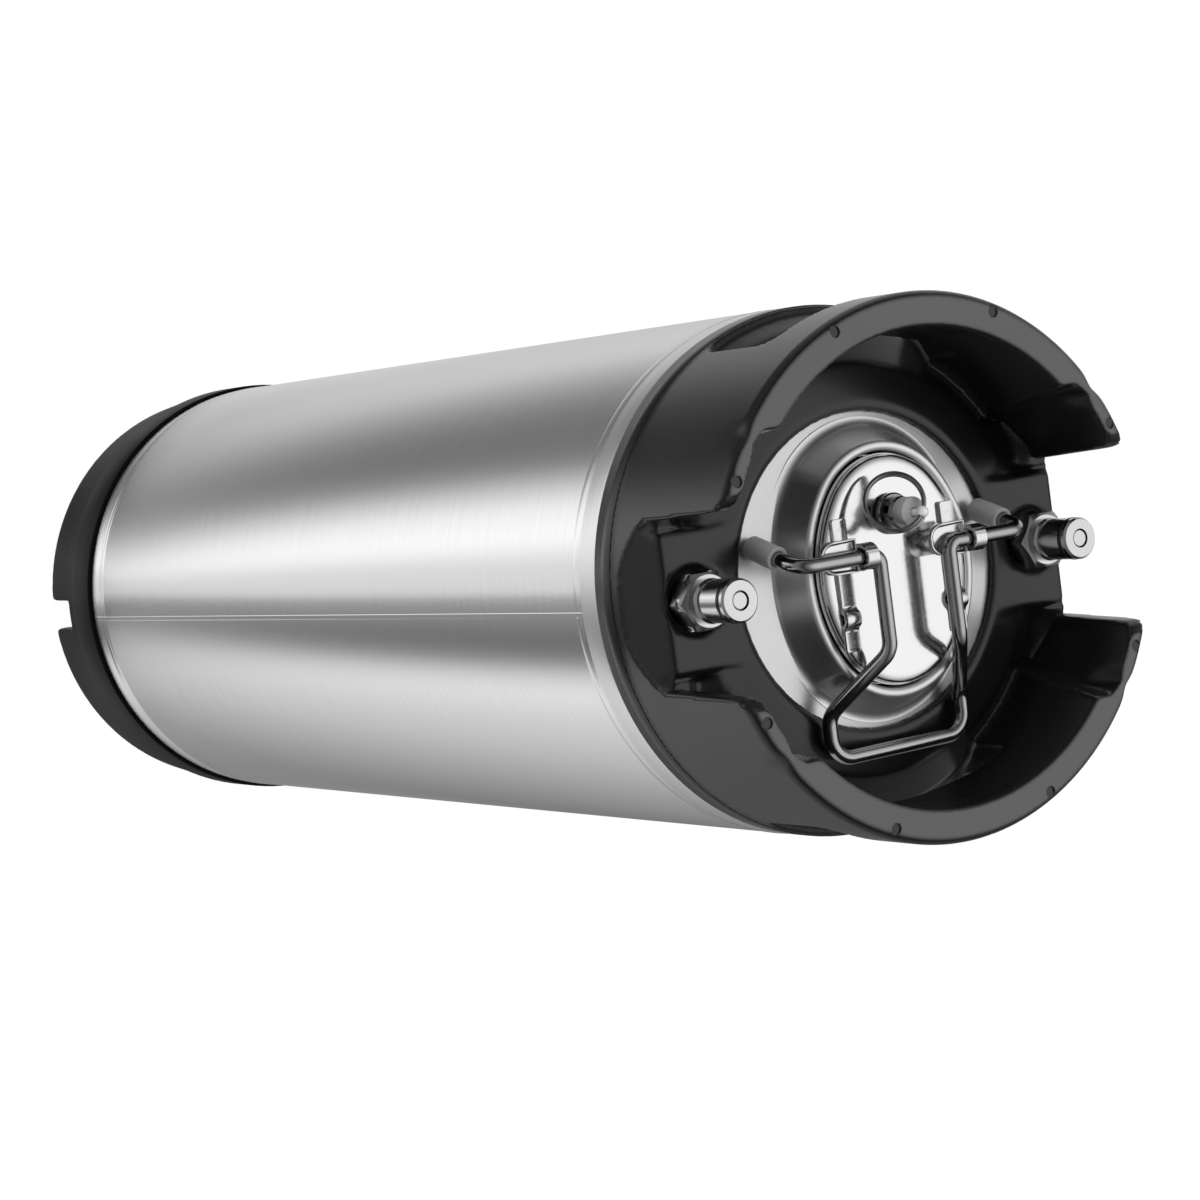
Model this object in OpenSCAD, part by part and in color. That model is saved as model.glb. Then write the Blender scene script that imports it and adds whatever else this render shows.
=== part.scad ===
// Ball lock keg of about 19 litres: a welded steel pressure vessel with a moulded
// rubber collar and boot, an oval lid clamped by a wire bail, a pull-ring relief
// valve on the lid, and a gas and a liquid post with their poppets and dip tubes.
// Millimetres. The keg stands on z = 0. X runs through the two posts, with the gas
// post at -X. Y runs through the two hand holes, with the relief valve at +Y.

/* [Vessel] */
// Height from the floor to the top of the rubber collar
total_h = 635; // [600:1:680]
// Outside diameter of the steel shell
shell_d = 216; // [208:1:224]
// Thickness of the steel sheet
sheet_t = 1.2; // [0.9:0.1:1.8]
// Outside radius of the knuckle where a domed end turns into the side
knuckle_r = 36; // [33:1:38]
// Height of a domed end above the middle of its knuckle
dome_rise = 45.2; // [43:0.1:48]
// Straight skirt of a domed end between its weld and its knuckle
skirt_h = 5; // [3:0.5:7]
// Distance from the edge of a rubber part to the weld round the shell
weld_from_rubber = 11; // [7:0.5:15]
// Radius of the weld beads on the shell
weld_bead_r = 0.6; // [0.4:0.1:1]

/* [Rubber collar] */
// Height of the rubber collar above the bare steel
collar_h = 83; // [80:1:88]
// Radial depth of the wide rim over each hand hole
rim_depth = 14; // [12:0.5:16]
// Thickness of the thinner collar wall beside the posts
wall_t = 7.8; // [6.5:0.1:9]
// How far the wall stands in from the base band
wall_inset = 0.7; // [0.3:0.1:1.2]
// Height of the base band of the collar
band_h = 11; // [9:0.5:12]
// Radius of the outer edge of the rim
rim_edge_r = 3.6; // [2.5:0.1:4.5]
// Height of the sill of a post cut-out above the bare steel
sill_h = 15; // [13:0.5:18]
// Half width of a post cut-out at its sill
cutout_half_w = 32; // [28:0.5:35]
// Radius of the lower corners of a post cut-out
cutout_corner_r = 5; // [3:0.5:7]
// Radius of the upper corners of a post cut-out
cutout_lip_r = 8; // [5:0.5:10]
// Height of the lower edge of a hand hole above the bare steel
hand_sill_h = 12; // [11:0.5:14]
// Height of a hand hole
hand_hole_h = 45; // [40:1:48]
// Width of a hand hole, measured straight across
hand_hole_w = 101; // [90:1:108]
// Radius of the corners of a hand hole
hand_corner_r = 8; // [5:0.5:10]
// Diameter of the moulded dimples in the rim
dimple_d = 4.6; // [3:0.1:6]
// Depth of the moulded dimples
dimple_depth = 0.8; // [0.5:0.1:1.2]
// Half width of the flat pad round a post
pad_half_w = 27; // [22:0.5:30]
// Radius of the recess in the pad round a post
pad_recess_r = 13.5; // [12:0.5:15]
// Depth of the recess in the pad round a post
pad_recess_depth = 3; // [2:0.25:4]
// Width of the bare steel between the foot of the neck and the collar
bare_margin = 1.7; // [1:0.1:4]

/* [Rubber boot] */
// Height of the rubber boot
boot_h = 60; // [55:1:66]
// How far the boot stands proud of the shell
boot_proud = 1.6; // [1:0.1:2.5]
// Height of the tapered foot of the boot
foot_h = 38; // [34:1:42]
// How far the outer edge of the foot stands in on the floor
foot_inset = 4; // [2.5:0.1:6]
// Thickness of the foot's wall on the floor
foot_t = 9; // [7:0.5:12]
// Width of a drain notch in the foot
notch_w = 15; // [11:0.5:19]
// Height of a drain notch in the foot
notch_h = 29; // [24:1:32]
// Radius of the corners of a drain notch
notch_r = 3; // [2:0.25:4]

/* [Lid opening] */
// Half length of the oval crest of the opening, along Y
neck_half_l = 50.5; // [49.5:0.1:51.5]
// Half width of the oval crest of the opening, along X
neck_half_w = 41; // [40.4:0.1:41.8]
// Radius of the round ends of the oval
neck_end_r = 36.25; // [35:0.25:37]
// Depth of the crest of the opening below the rim of the collar
neck_below_rim = 33.5; // [32.5:0.25:34.5]
// Radius of the rolled crest
crest_r = 2.4; // [2:0.1:2.8]
// Slope of the flank of the neck in degrees
flank_angle = 64; // [58:1:70]
// Radius of the hollow at the foot of the neck
neck_fillet_r = 5; // [4:0.25:6]
// Depth of the rolled lip below the crest
lip_depth = 6.2; // [5.8:0.1:6.6]

/* [Lid] */
// Height of the flat top of the lid above the crest
lid_above_crest = 3.5; // [3:0.1:4.5]
// Thickness of the lid plate
lid_t = 2; // [1.6:0.1:2.4]
// Gap between the wall of the lid and the line of the crest
lid_inset = 5; // [4.8:0.1:5.6]
// Width of the shoulder of the lid
lid_shoulder_w = 5; // [4:0.25:6]
// Radius of the crowned shoulder of the lid
lid_shoulder_r = 9; // [8:0.25:11]
// Radius of the turned edge of the lid
lid_edge_r = 2; // [1.5:0.1:2.5]
// Radius of the round section of the lid seal
seal_r = 2.4; // [2.2:0.05:2.5]
// Reach of the lid's flange past the line of the crest
flange_reach = 2.2; // [1.6:0.1:2.8]

/* [Bail] */
// Diameter of the bail wire
bail_wire_d = 6; // [5.5:0.1:6.4]
// Height of the hinge of the bail above the lid
hinge_above_lid = 12; // [11.5:0.25:12.5]
// Distance of the hinge from the middle of the lid
hinge_y = 8; // [6:0.5:10]
// Distance between the middles of the two parallel legs of the bail
leg_spacing = 35; // [33:0.5:38]
// Length of the parallel legs, from the hinge to the bend
leg_l = 38; // [37:0.5:39]
// Distance between the two feet of the bail
foot_spacing = 113.5; // [112:0.5:115]
// Width of the hand loop, between the middles of its sides
loop_w = 67; // [62:0.5:72]
// Distance of the far side of the loop from the middle of the lid
loop_reach = 71.5; // [69:0.5:74]
// Drop of the loop below the hinge
loop_drop = 24; // [23:0.25:24.5]
// Bend radius beside the hinge
hinge_bend_r = 4.2; // [4:0.1:4.4]
// Bend radius above the feet
arm_bend_r = 8; // [6:0.5:10]
// Bend radius of the loop
loop_bend_r = 9; // [7:0.5:10]
// Tilt of the arms of the feet from upright, in degrees
foot_tilt = 17; // [15:0.5:18]
// Diameter of a rubber foot
foot_d = 9.6; // [9:0.1:10.4]
// Length of a rubber foot
foot_l = 16.5; // [14:0.5:18]
// Distance from the hinge to the end of a rubber foot
foot_reach = 29.6; // [29:0.1:29.7]

/* [Bail brackets] */
// Distance between the middles of the two brackets
bracket_spacing = 54.2; // [53:0.2:55]
// Width of the strap of a bracket
strap_w = 7; // [6:0.25:8]
// Thickness of the strap
strap_t = 1.7; // [1.4:0.1:2]
// Clearance between the bail wire and its bearing
bail_clearance = 0.6; // [0.5:0.05:0.8]
// Length of the open trough under the wire
trough_l = 17; // [14:0.5:19]
// Length of the closed band round the wire
band_l = 5.6; // [5:0.2:5.8]
// Offset of the middle of the band from the middle of the strap
band_offset = 3.1; // [2.9:0.1:3.4]
// Far end of the upper tab from the middle of the lid
tab_end_y = 23; // [21:0.5:24]
// Far end of the lower strap from the middle of the lid
strap_end_y = 29; // [27:0.5:31]
// Distance of the stamped hump from the middle of the lid
hump_y = 16; // [15:0.5:17]
// Outer radius of the stamped hump
hump_r = 4; // [3.2:0.1:4.6]
// Radius of a spot weld
spot_r = 0.9; // [0.6:0.1:1.2]
// Height of a spot weld
spot_h = 0.25; // [0.15:0.05:0.4]

/* [Relief valve] */
// Distance of the valve from the middle of the lid
prv_y = 22; // [20:0.5:24]
// Radius of the flange of the valve body
prv_flange_r = 8.2; // [7.6:0.1:8.8]
// Height of the flange of the valve body
prv_flange_h = 2; // [1.5:0.1:2.5]
// Radius of the valve body
prv_body_r = 6.6; // [6.2:0.1:7]
// Height of the valve body above its flange
prv_body_h = 6; // [5.5:0.1:6.5]
// Radius of the neck of the valve body inside the cap
prv_neck_r = 4.7; // [4.5:0.05:4.8]
// Radius of the spring chamber
prv_chamber_r = 3.9; // [3.7:0.05:4]
// Radius of the threaded shank through the lid
prv_shank_r = 4.9; // [4.5:0.1:5.2]
// Length of the threaded shank under the lid
prv_shank_l = 7; // [6:0.5:9]
// Radius of the inlet through the shank
prv_inlet_r = 2; // [1.6:0.1:2.3]
// Thickness of the gasket under the flange
prv_gasket_t = 1; // [0.8:0.1:1.4]
// Width across the flats of the nut welded under the lid
prv_nut_af = 17; // [15:0.5:19]
// Height of the nut under the lid
prv_nut_h = 5; // [4:0.25:6]
// Radius of the plastic cap
prv_cap_r = 5.7; // [5.5:0.1:6]
// Height of the plastic cap
prv_cap_h = 5.9; // [5.6:0.1:6.4]
// Height of the socket inside the cap
prv_socket_h = 2.8; // [2.6:0.1:3.2]
// Radius of the vent in the side of the valve body
prv_vent_r = 1.7; // [1.3:0.1:2]
// Direction of the vent in degrees
prv_vent_az = 160; // [90:5:270]
// Radius of the stem
prv_stem_r = 1.4; // [1.2:0.05:1.5]
// Height of the eye of the stem above the cap
prv_eye_rise = 5.1; // [4.6:0.1:6]
// Radius of the eye of the stem
prv_eye_r = 2.4; // [2.3:0.05:2.6]
// Diameter of the wire of the pull ring
ring_wire_d = 1; // [0.9:0.05:1.1]
// Radius of the pull ring to the middle of its wire
ring_r = 11.5; // [10.5:0.25:12.5]
// Direction in which the pull ring leans, in degrees
ring_az = 147; // [120:1:180]
// Angle of the pull ring below level, in degrees
ring_lean = 37; // [30:1:40]

/* [Posts] */
// Distance of a post from the side of the shell
post_inset = 22.5; // [21:0.25:24]
// Depth of the face of a post below the rim of the collar
post_below_rim = 17.6; // [16.5:0.1:19]
// Radius of the barrel of a post
post_r = 8.5; // [8.3:0.05:8.8]
// Height of the disc above the outer ring of a post
post_tip_h = 2.4; // [2:0.1:3]
// Height of the groove of the outer ring
post_groove_h = 2.2; // [2:0.1:2.6]
// Height of the barrel
post_barrel_h = 10.2; // [9:0.1:11]
// Height of the locking groove
post_lock_h = 2.6; // [2:0.1:3.2]
// Depth of the locking groove
post_lock_depth = 1; // [0.7:0.1:1.3]
// Height of the shoulder under the locking groove
post_shoulder_h = 3; // [2.5:0.1:3.5]
// Width across the flats of the hexagon
post_hex_af = 22; // [20:0.5:24]
// Height of the hexagon
post_hex_h = 8.8; // [8:0.1:10]
// Radius of the chamber of the poppet
post_chamber_r = 5.5; // [5.2:0.1:5.8]
// Radius of the hole in the face of a post
post_hole_r = 3.9; // [3.8:0.05:4.1]
// Depth of the hole in the face down to the seat
post_hole_depth = 3.4; // [3:0.1:4]
// Height of the sloping seat of the poppet
post_seat_h = 1.6; // [1.4:0.1:2]
// Radius of the thread of a stub
thread_r = 7.3; // [7.1:0.05:7.4]
// Clearance of the thread
thread_clearance = 0.1; // [0.05:0.05:0.2]
// Radius of the collar of a stub
stub_r = 9.5; // [9:0.1:10]
// Width of the gas marks across the hexagon
gas_mark_w = 2.2; // [1.5:0.1:3]
// Depth of the gas marks in the corners of the hexagon
gas_mark_depth = 1.1; // [0.7:0.1:1.4]

/* [Poppets and dip tubes] */
// Radius of the tip of a poppet
poppet_tip_r = 3.5; // [3.3:0.05:3.6]
// Radius of the skirt of a poppet
poppet_skirt_r = 4.7; // [4.4:0.05:4.9]
// Radius of the guide pin of a poppet
poppet_pin_r = 1.2; // [1:0.05:1.4]
// Outside radius of a dip tube
tube_r = 4; // [3.8:0.05:4.1]
// Wall of a dip tube
tube_wall = 0.7; // [0.5:0.05:0.8]
// Radius of the flange of a dip tube
tube_flange_r = 6.8; // [6.4:0.1:7]
// Thickness of the flange of a dip tube
tube_flange_t = 1.6; // [1.3:0.1:2]
// Radius of the section of the ring under the flange
tube_ring_r = 0.8; // [0.7:0.05:0.9]
// Length of the gas dip tube below its flange
gas_tube_l = 62; // [50:1:90]
// Height of the lower bend of the liquid tube
liquid_bend_z = 64; // [60:1:70]
// Distance of the open end of the liquid tube from the middle of the keg
liquid_end_x = 14; // [10:1:20]
// Height of the open end of the liquid tube
liquid_end_z = 33; // [31:0.5:36]
// Bend radius of the liquid tube
liquid_bend_r = 40; // [30:1:50]

/* [Hidden] */
$fn = 96;

// A little more than a cut needs, so that it passes clean through
overrun = 2;
// Points on each arc of a profile
arc_steps = 12;
// How far straight pieces of wire reach into a bend, and how much the bend swells to take them
bend_lap = 0.05;
bend_swell = 0.03;

// Direction of the lengthwise weld of the shell
seam_az = 181;
// Radius of the rounded inner edge of the rim
rim_inner_edge_r = 1.5;
// Thickness of the collar's floor over the steel
floor_t = 5;
// Width and thickness of the lip of the floor at the bare steel
floor_lip_w = 3;
floor_lip_t = 3;
// Where the shelf of the floor ends, between the lip at the bare steel and the thin wall
shelf_share = 0.507;
// Rise of the gutter behind the wall above the sill
gutter_rise = 5;
// Rounding of the outer edge of the sill
sill_edge = 1;
// Depth of the level outer sill of a hand hole
hand_sill_t = 3;
// How much wider a post cut-out is at the rim than at the sill, each side
cutout_flare = 3;
// Half width of the pocket behind the thin wall at its foot and at the rim
pocket_foot_y = 51;
pocket_rim_y = 63;
// Distance of the dimples from the outside of the wall, and their directions from Y
dimple_inset = 4.3;
dimple_angles = [-64, -22.3, 22.3, 64];
// How much wider the pad of a post is at the sill than on top, each side
pad_flare = 11;
// Depth of a post's pad below the hexagon, and the gap round a stub
pad_below_hex = 0.4;
stub_fit = 0.3;
// Length of a stub inside the vessel
stub_tail = 5;
// Rounding of the boot's edges and the depth of its crease
boot_edge_r = 1.5;
boot_lip_r = 1.2;
boot_crease = 0.6;
// Width of the ring of rubber that the vessel sits on, and its thickness
boot_seat_w = 10.6;
boot_seat_t = 3;
// Gap between the lid's wall and its seal
seal_fit = 0.3;
// How far the uprights of a bracket stand in from the outside of the band
riser_inset = 0.15;
// Directions, about the hinge, between which the trough reaches under the wire
trough_from_angle = 247;
trough_to_angle = 375;
// Rubber beyond the end of the bail wire in a foot
foot_cap_t = 3;
// Length of the sides of the hand loop
loop_side_l = 17.5;
// Small chamfer of the relief valve, and the gap round its stem
prv_edge = 0.6;
stem_fit = 0.3;
// Wire radius of the valve's spring, and its distance from the chamber's wall
prv_spring_wire_r = 0.35;
prv_spring_fit = 1.1;
// Radius of the cross hole in the eye, and how far the ring's turns press together
ring_hole_r = 1.4;
ring_press = 0.03;
// Small chamfer of a post, the step of its shoulder and how proud its ring stands
post_edge = 0.8;
post_shoulder_step = 0.3;
post_ring_proud = 0.2;
// Length of a poppet's guide pin, and the step between its tip and its neck
poppet_pin_l = 6;
poppet_neck_step = 0.9;

shell_r = shell_d / 2;
steel_top_z = total_h - collar_h;
top_weld_z = steel_top_z - weld_from_rubber;
bottom_weld_z = boot_h + weld_from_rubber;
top_spring_z = top_weld_z + skirt_h;
bottom_spring_z = bottom_weld_z - skirt_h;
knuckle_x = shell_r - knuckle_r;
crown_r = (pow(knuckle_x, 2) + pow(dome_rise, 2) - pow(knuckle_r, 2)) / (2 * (dome_rise - knuckle_r));
crown_drop = crown_r - dome_rise;
knuckle_end_angle = atan2(crown_drop, knuckle_x);
crown_centre_z = top_spring_z - crown_drop;

// Height of the steel above the knuckle's centre at radius x, both outside
function head_rise(x) = x > knuckle_x + knuckle_r * cos(knuckle_end_angle)
    ? sqrt(pow(knuckle_r, 2) - pow(x - knuckle_x, 2))
    : sqrt(pow(crown_r, 2) - pow(x, 2)) - crown_drop;
function top_steel_z(x) = top_spring_z + head_rise(x);
function bottom_steel_z(x) = bottom_spring_z - head_rise(x);

// Points of an arc from angle a0 to a1 about a centre
function arc(centre, r, a0, a1, steps = arc_steps) =
    [for (i = [0:steps]) centre + r * [cos(a0 + (a1 - a0) * i / steps), sin(a0 + (a1 - a0) * i / steps)]];
function reversed(list) = [for (i = [len(list) - 1:-1:0]) list[i]];
function unit(v) = v / norm(v);

// Oval of the lid opening: four arcs that meet at a common tangent
end_cy = neck_half_l - neck_end_r;
oval_side_gap = neck_half_w - neck_end_r;
side_cx = (pow(end_cy, 2) - pow(oval_side_gap, 2)) / (2 * oval_side_gap);
side_arc_r = neck_half_w + side_cx;
side_angle = atan2(end_cy, side_cx);
crest_z = total_h - neck_below_rim;

// Lid
lid_top_z = crest_z + lid_above_crest;
crest_cx = -crest_r / 2;
lip_bottom_z = crest_z - lip_depth;
seal_gap = 0.3;
seal_z = lip_bottom_z - seal_gap - seal_r;
flange_top_z = seal_z - seal_r;

// Bail
bail_r = bail_wire_d / 2;
hinge_z = lid_top_z + hinge_above_lid;
leg_x = leg_spacing / 2;
foot_x = foot_spacing / 2;
loop_x = loop_w / 2;
foot_dir = [0, sin(foot_tilt), -cos(foot_tilt)];
bearing_r = bail_r + bail_clearance;

// Relief valve, from the lid upward
prv_flange_z = lid_top_z + prv_gasket_t;
prv_body_z = prv_flange_z + prv_flange_h;
prv_cap_z = prv_body_z + prv_body_h;
prv_cap_top_z = prv_cap_z + prv_cap_h;
prv_eye_z = prv_cap_top_z + prv_eye_rise;
prv_socket_z = prv_cap_z + prv_socket_h;
prv_seat_h = 0.8;
prv_seat_z = prv_flange_z + prv_seat_h;
prv_poppet_gap = 0.15;
prv_seal_t = 1.2;
prv_head_z = prv_seat_z + prv_poppet_gap + prv_seal_t;
prv_head_t = 1.2;
prv_head_r = prv_chamber_r - 2 * prv_poppet_gap;
ring_wire_r = ring_wire_d / 2;

// Posts, from the face downward
post_x = shell_r - post_inset;
face_z = total_h - post_below_rim;
groove_top_z = face_z - post_tip_h;
barrel_top_z = groove_top_z - post_groove_h;
lock_top_z = barrel_top_z - post_barrel_h;
shoulder_top_z = lock_top_z - post_lock_h;
hex_top_z = shoulder_top_z - post_shoulder_h;
hex_base_z = hex_top_z - post_hex_h;
seat_top_z = face_z - post_hole_depth;
seat_base_z = seat_top_z - post_seat_h;
stub_top_z = hex_top_z;
ring_bed_z = stub_top_z + 2 * tube_ring_r;
tube_top_z = ring_bed_z + tube_flange_t;
tube_fit = 0.25;
poppet_fit = 0.4;
skirt_h_poppet = 1.6;
skirt_top_z = seat_base_z - poppet_fit;
skirt_base_z = skirt_top_z - skirt_h_poppet;
spring_wire_r = 0.45;

// A round rod that follows corner points, each corner bent to its own radius
module bent_rod(points, bends, r) {
    count = len(points);
    dirs = [for (i = [0:count - 2]) unit(points[i + 1] - points[i])];
    setbacks = [for (i = [0:count - 1]) i == 0 || i == count - 1
        ? 0
        : bends[i] * tan(acos(dirs[i - 1] * dirs[i]) / 2)];
    for (i = [0:count - 2])
        rod(points[i] + dirs[i] * (setbacks[i] - (i == 0 ? 0 : bend_lap)),
            points[i + 1] - dirs[i] * (setbacks[i + 1] - (i == count - 2 ? 0 : bend_lap)), r);
    for (i = [1:count - 2])
        elbow(points[i] - dirs[i - 1] * setbacks[i], dirs[i - 1], dirs[i], bends[i], r + bend_swell);
}

module rod(from, to, r) {
    along = unit(to - from);
    side = unit(cross(abs(along.z) > 0.9 ? [1, 0, 0] : [0, 0, 1], along));
    placed(from, side, cross(along, side), along) cylinder(r = r, h = norm(to - from), $fn = 32);
}

module elbow(start, from_dir, to_dir, bend, r) {
    inward = unit(to_dir - (from_dir * to_dir) * from_dir);
    placed(start + inward * bend, -inward, from_dir, cross(-inward, from_dir))
        rotate_extrude(angle = acos(from_dir * to_dir), $fn = 96)
            translate([bend, 0]) circle(r = r, $fn = 32);
}

module placed(origin, x_dir, y_dir, z_dir) {
    multmatrix([
        [x_dir.x, y_dir.x, z_dir.x, origin.x],
        [x_dir.y, y_dir.y, z_dir.y, origin.y],
        [x_dir.z, y_dir.z, z_dir.z, origin.z],
        [0, 0, 0, 1]
    ]) children();
}

// Sweeps a section, drawn as distance outward from the oval and height, round the oval
module oval_sweep() {
    for (side = [0, 180]) {
        rotate([0, 0, side]) translate([-side_cx, 0, 0]) rotate([0, 0, -side_angle])
            rotate_extrude(angle = 2 * side_angle, $fn = 180) translate([side_arc_r, 0]) children();
        rotate([0, 0, side]) translate([0, end_cy, 0]) rotate([0, 0, side_angle])
            rotate_extrude(angle = 180 - 2 * side_angle, $fn = 180) translate([neck_end_r, 0]) children();
    }
}

function oval_points(grow) = concat(
    arc([-side_cx, 0], side_arc_r + grow, -side_angle, side_angle),
    arc([0, end_cy], neck_end_r + grow, side_angle, 180 - side_angle),
    arc([side_cx, 0], side_arc_r + grow, 180 - side_angle, 180 + side_angle),
    arc([0, -end_cy], neck_end_r + grow, 180 + side_angle, 360 - side_angle));

module oval_plate(grow, z0, z1) {
    translate([0, 0, z0]) linear_extrude(z1 - z0) polygon(oval_points(grow));
}

module ring(x, z, r) {
    rotate_extrude() translate([x, z]) circle(r = r, $fn = 32);
}

// Wire wound into a helix, standing on z = base
module coil_spring(coil_r, wire_r, base, top, turns) {
    sides = 6;
    rings = turns * 12;
    rise = top - base - 2 * wire_r;
    points = [for (i = [0:rings], j = [0:sides - 1])
        let (a = 360 * turns * i / rings, x = coil_r + wire_r * cos(360 * j / sides))
        [x * cos(a), x * sin(a), base + wire_r + rise * i / rings + wire_r * sin(360 * j / sides)]];
    faces = concat(
        [[for (j = [0:sides - 1]) j]],
        [for (i = [0:rings - 1], j = [0:sides - 1])
            let (k = (j + 1) % sides)
            [i * sides + j, (i + 1) * sides + j, (i + 1) * sides + k, i * sides + k]],
        [[for (j = [sides - 1:-1:0]) rings * sides + j]]);
    polyhedron(points, faces);
}

// Domed end of the vessel about its knuckle's centre plane, as a sheet
function head_outline(inset) = concat(
    [[shell_r - inset, -skirt_h]],
    arc([knuckle_x, 0], knuckle_r - inset, 0, knuckle_end_angle),
    [for (a = [1:arc_steps])
        let (t = knuckle_end_angle + (90 - knuckle_end_angle) * a / arc_steps)
        [(crown_r - inset) * cos(t), (crown_r - inset) * sin(t) - crown_drop]]);

module head() {
    rotate_extrude() polygon(concat(head_outline(0), reversed(head_outline(sheet_t))));
}

module shell_body() {
    color("#c9cbcc") {
        translate([0, 0, bottom_weld_z]) difference() {
            cylinder(r = shell_r, h = top_weld_z - bottom_weld_z, $fn = 180);
            translate([0, 0, -overrun])
                cylinder(r = shell_r - sheet_t, h = top_weld_z - bottom_weld_z + 2 * overrun, $fn = 180);
        }
        rotate([0, 0, seam_az]) translate([shell_r, 0, bottom_weld_z])
            cylinder(r = weld_bead_r, h = top_weld_z - bottom_weld_z, $fn = 16);
        for (z = [bottom_weld_z + weld_bead_r, top_weld_z - weld_bead_r])
            translate([0, 0, z]) rotate_extrude($fn = 180)
                translate([shell_r, 0]) circle(r = weld_bead_r, $fn = 16);
    }
}

// Section of the neck: rolled crest, sloping flank and hollow foot, as a sheet
neck_base_z = top_steel_z(neck_half_l + neck_fillet_r);
flank_normal = [sin(flank_angle), cos(flank_angle)];
crest_centre = [crest_cx, crest_z - crest_r];
flank_top = crest_centre + crest_r * flank_normal;
flank_drop = flank_top.y + neck_fillet_r * cos(flank_angle) - neck_base_z - neck_fillet_r;
flank_run = flank_drop / sin(flank_angle);
fillet_centre = flank_top + flank_run * [cos(flank_angle), -sin(flank_angle)] + neck_fillet_r * flank_normal;
function neck_outline(inset) = concat(
    [[crest_centre.x - crest_r + inset, lip_bottom_z]],
    arc(crest_centre, crest_r - inset, 180, 90 - flank_angle),
    arc(fillet_centre, neck_fillet_r + inset, 270 - flank_angle, 270));

module top_dome() {
    color("#d2d4d5") {
        difference() {
            translate([0, 0, top_spring_z]) head();
            oval_plate(fillet_centre.x - neck_fillet_r, crown_centre_z, lid_top_z);
            for (side = [-1, 1]) translate([side * post_x, 0, crown_centre_z])
                cylinder(r = stub_r, h = crown_r + overrun);
        }
        oval_sweep() polygon(concat(neck_outline(0), reversed(neck_outline(sheet_t))));
    }
}

module bottom_dome() {
    color("#c4c6c7") translate([0, 0, bottom_spring_z]) mirror([0, 0, 1]) head();
}

// Rubber collar
band_top_z = steel_top_z + band_h;
wall_r = shell_r - wall_inset;
sill_z = steel_top_z + sill_h;
thin_wall_r = wall_r - wall_t;
wide_rim_r = wall_r - rim_depth;
bare_r = neck_half_l + fillet_centre.x + bare_margin;
lip_end_r = bare_r + floor_lip_w;
shelf_r = lip_end_r + shelf_share * (thin_wall_r - lip_end_r);
shelf_z = top_steel_z(shelf_r) + floor_t;
pad_z = hex_base_z - pad_below_hex;
gutter_z = sill_z + gutter_rise;
hand_sill_z = steel_top_z + hand_sill_h;
hand_top_z = hand_sill_z + hand_hole_h;

// Solid outline of a domed end, for cutting the rubber that fits on it
module head_form() {
    rotate_extrude() polygon(concat(head_outline(0), [[0, -skirt_h]]));
}

// Extrudes a shape drawn in Y and Z along X, about the middle
module along_x(length) {
    rotate([90, 0, 90]) linear_extrude(length, center = true) children();
}

// Extrudes a shape drawn in X and Z along Y, about the middle
module along_y(length) {
    rotate([90, 0, 0]) linear_extrude(length, center = true) children();
}

// Wall of the collar in section, down to the band, with its rounded rim
module wall_section(inner_r) {
    polygon(concat(
        [[inner_r, band_top_z], [wall_r, band_top_z]],
        arc([wall_r - rim_edge_r, total_h - rim_edge_r], rim_edge_r, 0, 90),
        arc([inner_r + rim_inner_edge_r, total_h - rim_inner_edge_r], rim_inner_edge_r, 90, 180, 6)));
}

// Floor that lies on the domed end, from the base band in to the bare steel
module collar_floor() {
    rotate_extrude($fn = 180) polygon([
        [bare_r, steel_top_z],
        [shell_r, steel_top_z],
        [shell_r, band_top_z - wall_inset],
        [wall_r, band_top_z],
        [wall_r, sill_z - sill_edge],
        [wall_r - sill_edge, sill_z],
        [thin_wall_r, gutter_z],
        [shelf_r, shelf_z],
        [lip_end_r, top_steel_z(bare_r) + floor_lip_t],
        [bare_r, top_steel_z(bare_r) + floor_lip_t / 2]
    ]);
}

// Flat pad that stands round each post, falls steeply to the sill and flares towards the walls
module post_pads() {
    foot_half_w = pad_half_w + pad_flare;
    tip_half_w = pad_half_w - pad_flare * overrun / (pad_z - sill_z);
    intersection() {
        along_x(2 * shell_d) polygon([
            [-foot_half_w, steel_top_z],
            [-foot_half_w, sill_z],
            [-tip_half_w, pad_z + overrun],
            [tip_half_w, pad_z + overrun],
            [foot_half_w, sill_z],
            [foot_half_w, steel_top_z]
        ]);
        for (side = [0, 180]) rotate([0, 0, side]) along_y(2 * foot_half_w + overrun) polygon([
            [knuckle_x / 2, steel_top_z],
            [knuckle_x / 2, pad_z],
            [post_x + pad_recess_r, pad_z],
            [wall_r - sill_edge, sill_z],
            [wall_r - sill_edge, steel_top_z]
        ]);
        difference() {
            cylinder(r = wall_r, h = total_h, $fn = 180);
            translate([0, 0, -overrun]) cylinder(r = lip_end_r, h = total_h + 2 * overrun, $fn = 180);
        }
    }
}

// Opening in the wall that leaves each post free, as wide as the sill and flared at the rim
module post_cutout() {
    lip_x = cutout_half_w + cutout_flare;
    half = concat(
        arc([cutout_half_w - cutout_corner_r, sill_z + cutout_corner_r], cutout_corner_r, 270, 360, 6),
        arc([lip_x + cutout_lip_r, total_h - cutout_lip_r], cutout_lip_r, 180, 90, 8),
        [[lip_x + cutout_lip_r, total_h + overrun]]);
    polygon(concat(half, [for (p = reversed(half)) [-p.x, p.y]]));
}

// The wide rim stops short of the posts, and this prism clears the pocket behind the thin wall
module pocket_prism() {
    along_x(2 * shell_d) polygon([
        [-pocket_foot_y, band_top_z],
        [pocket_foot_y, band_top_z],
        [pocket_rim_y, total_h + overrun],
        [-pocket_rim_y, total_h + overrun]
    ]);
}

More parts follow.
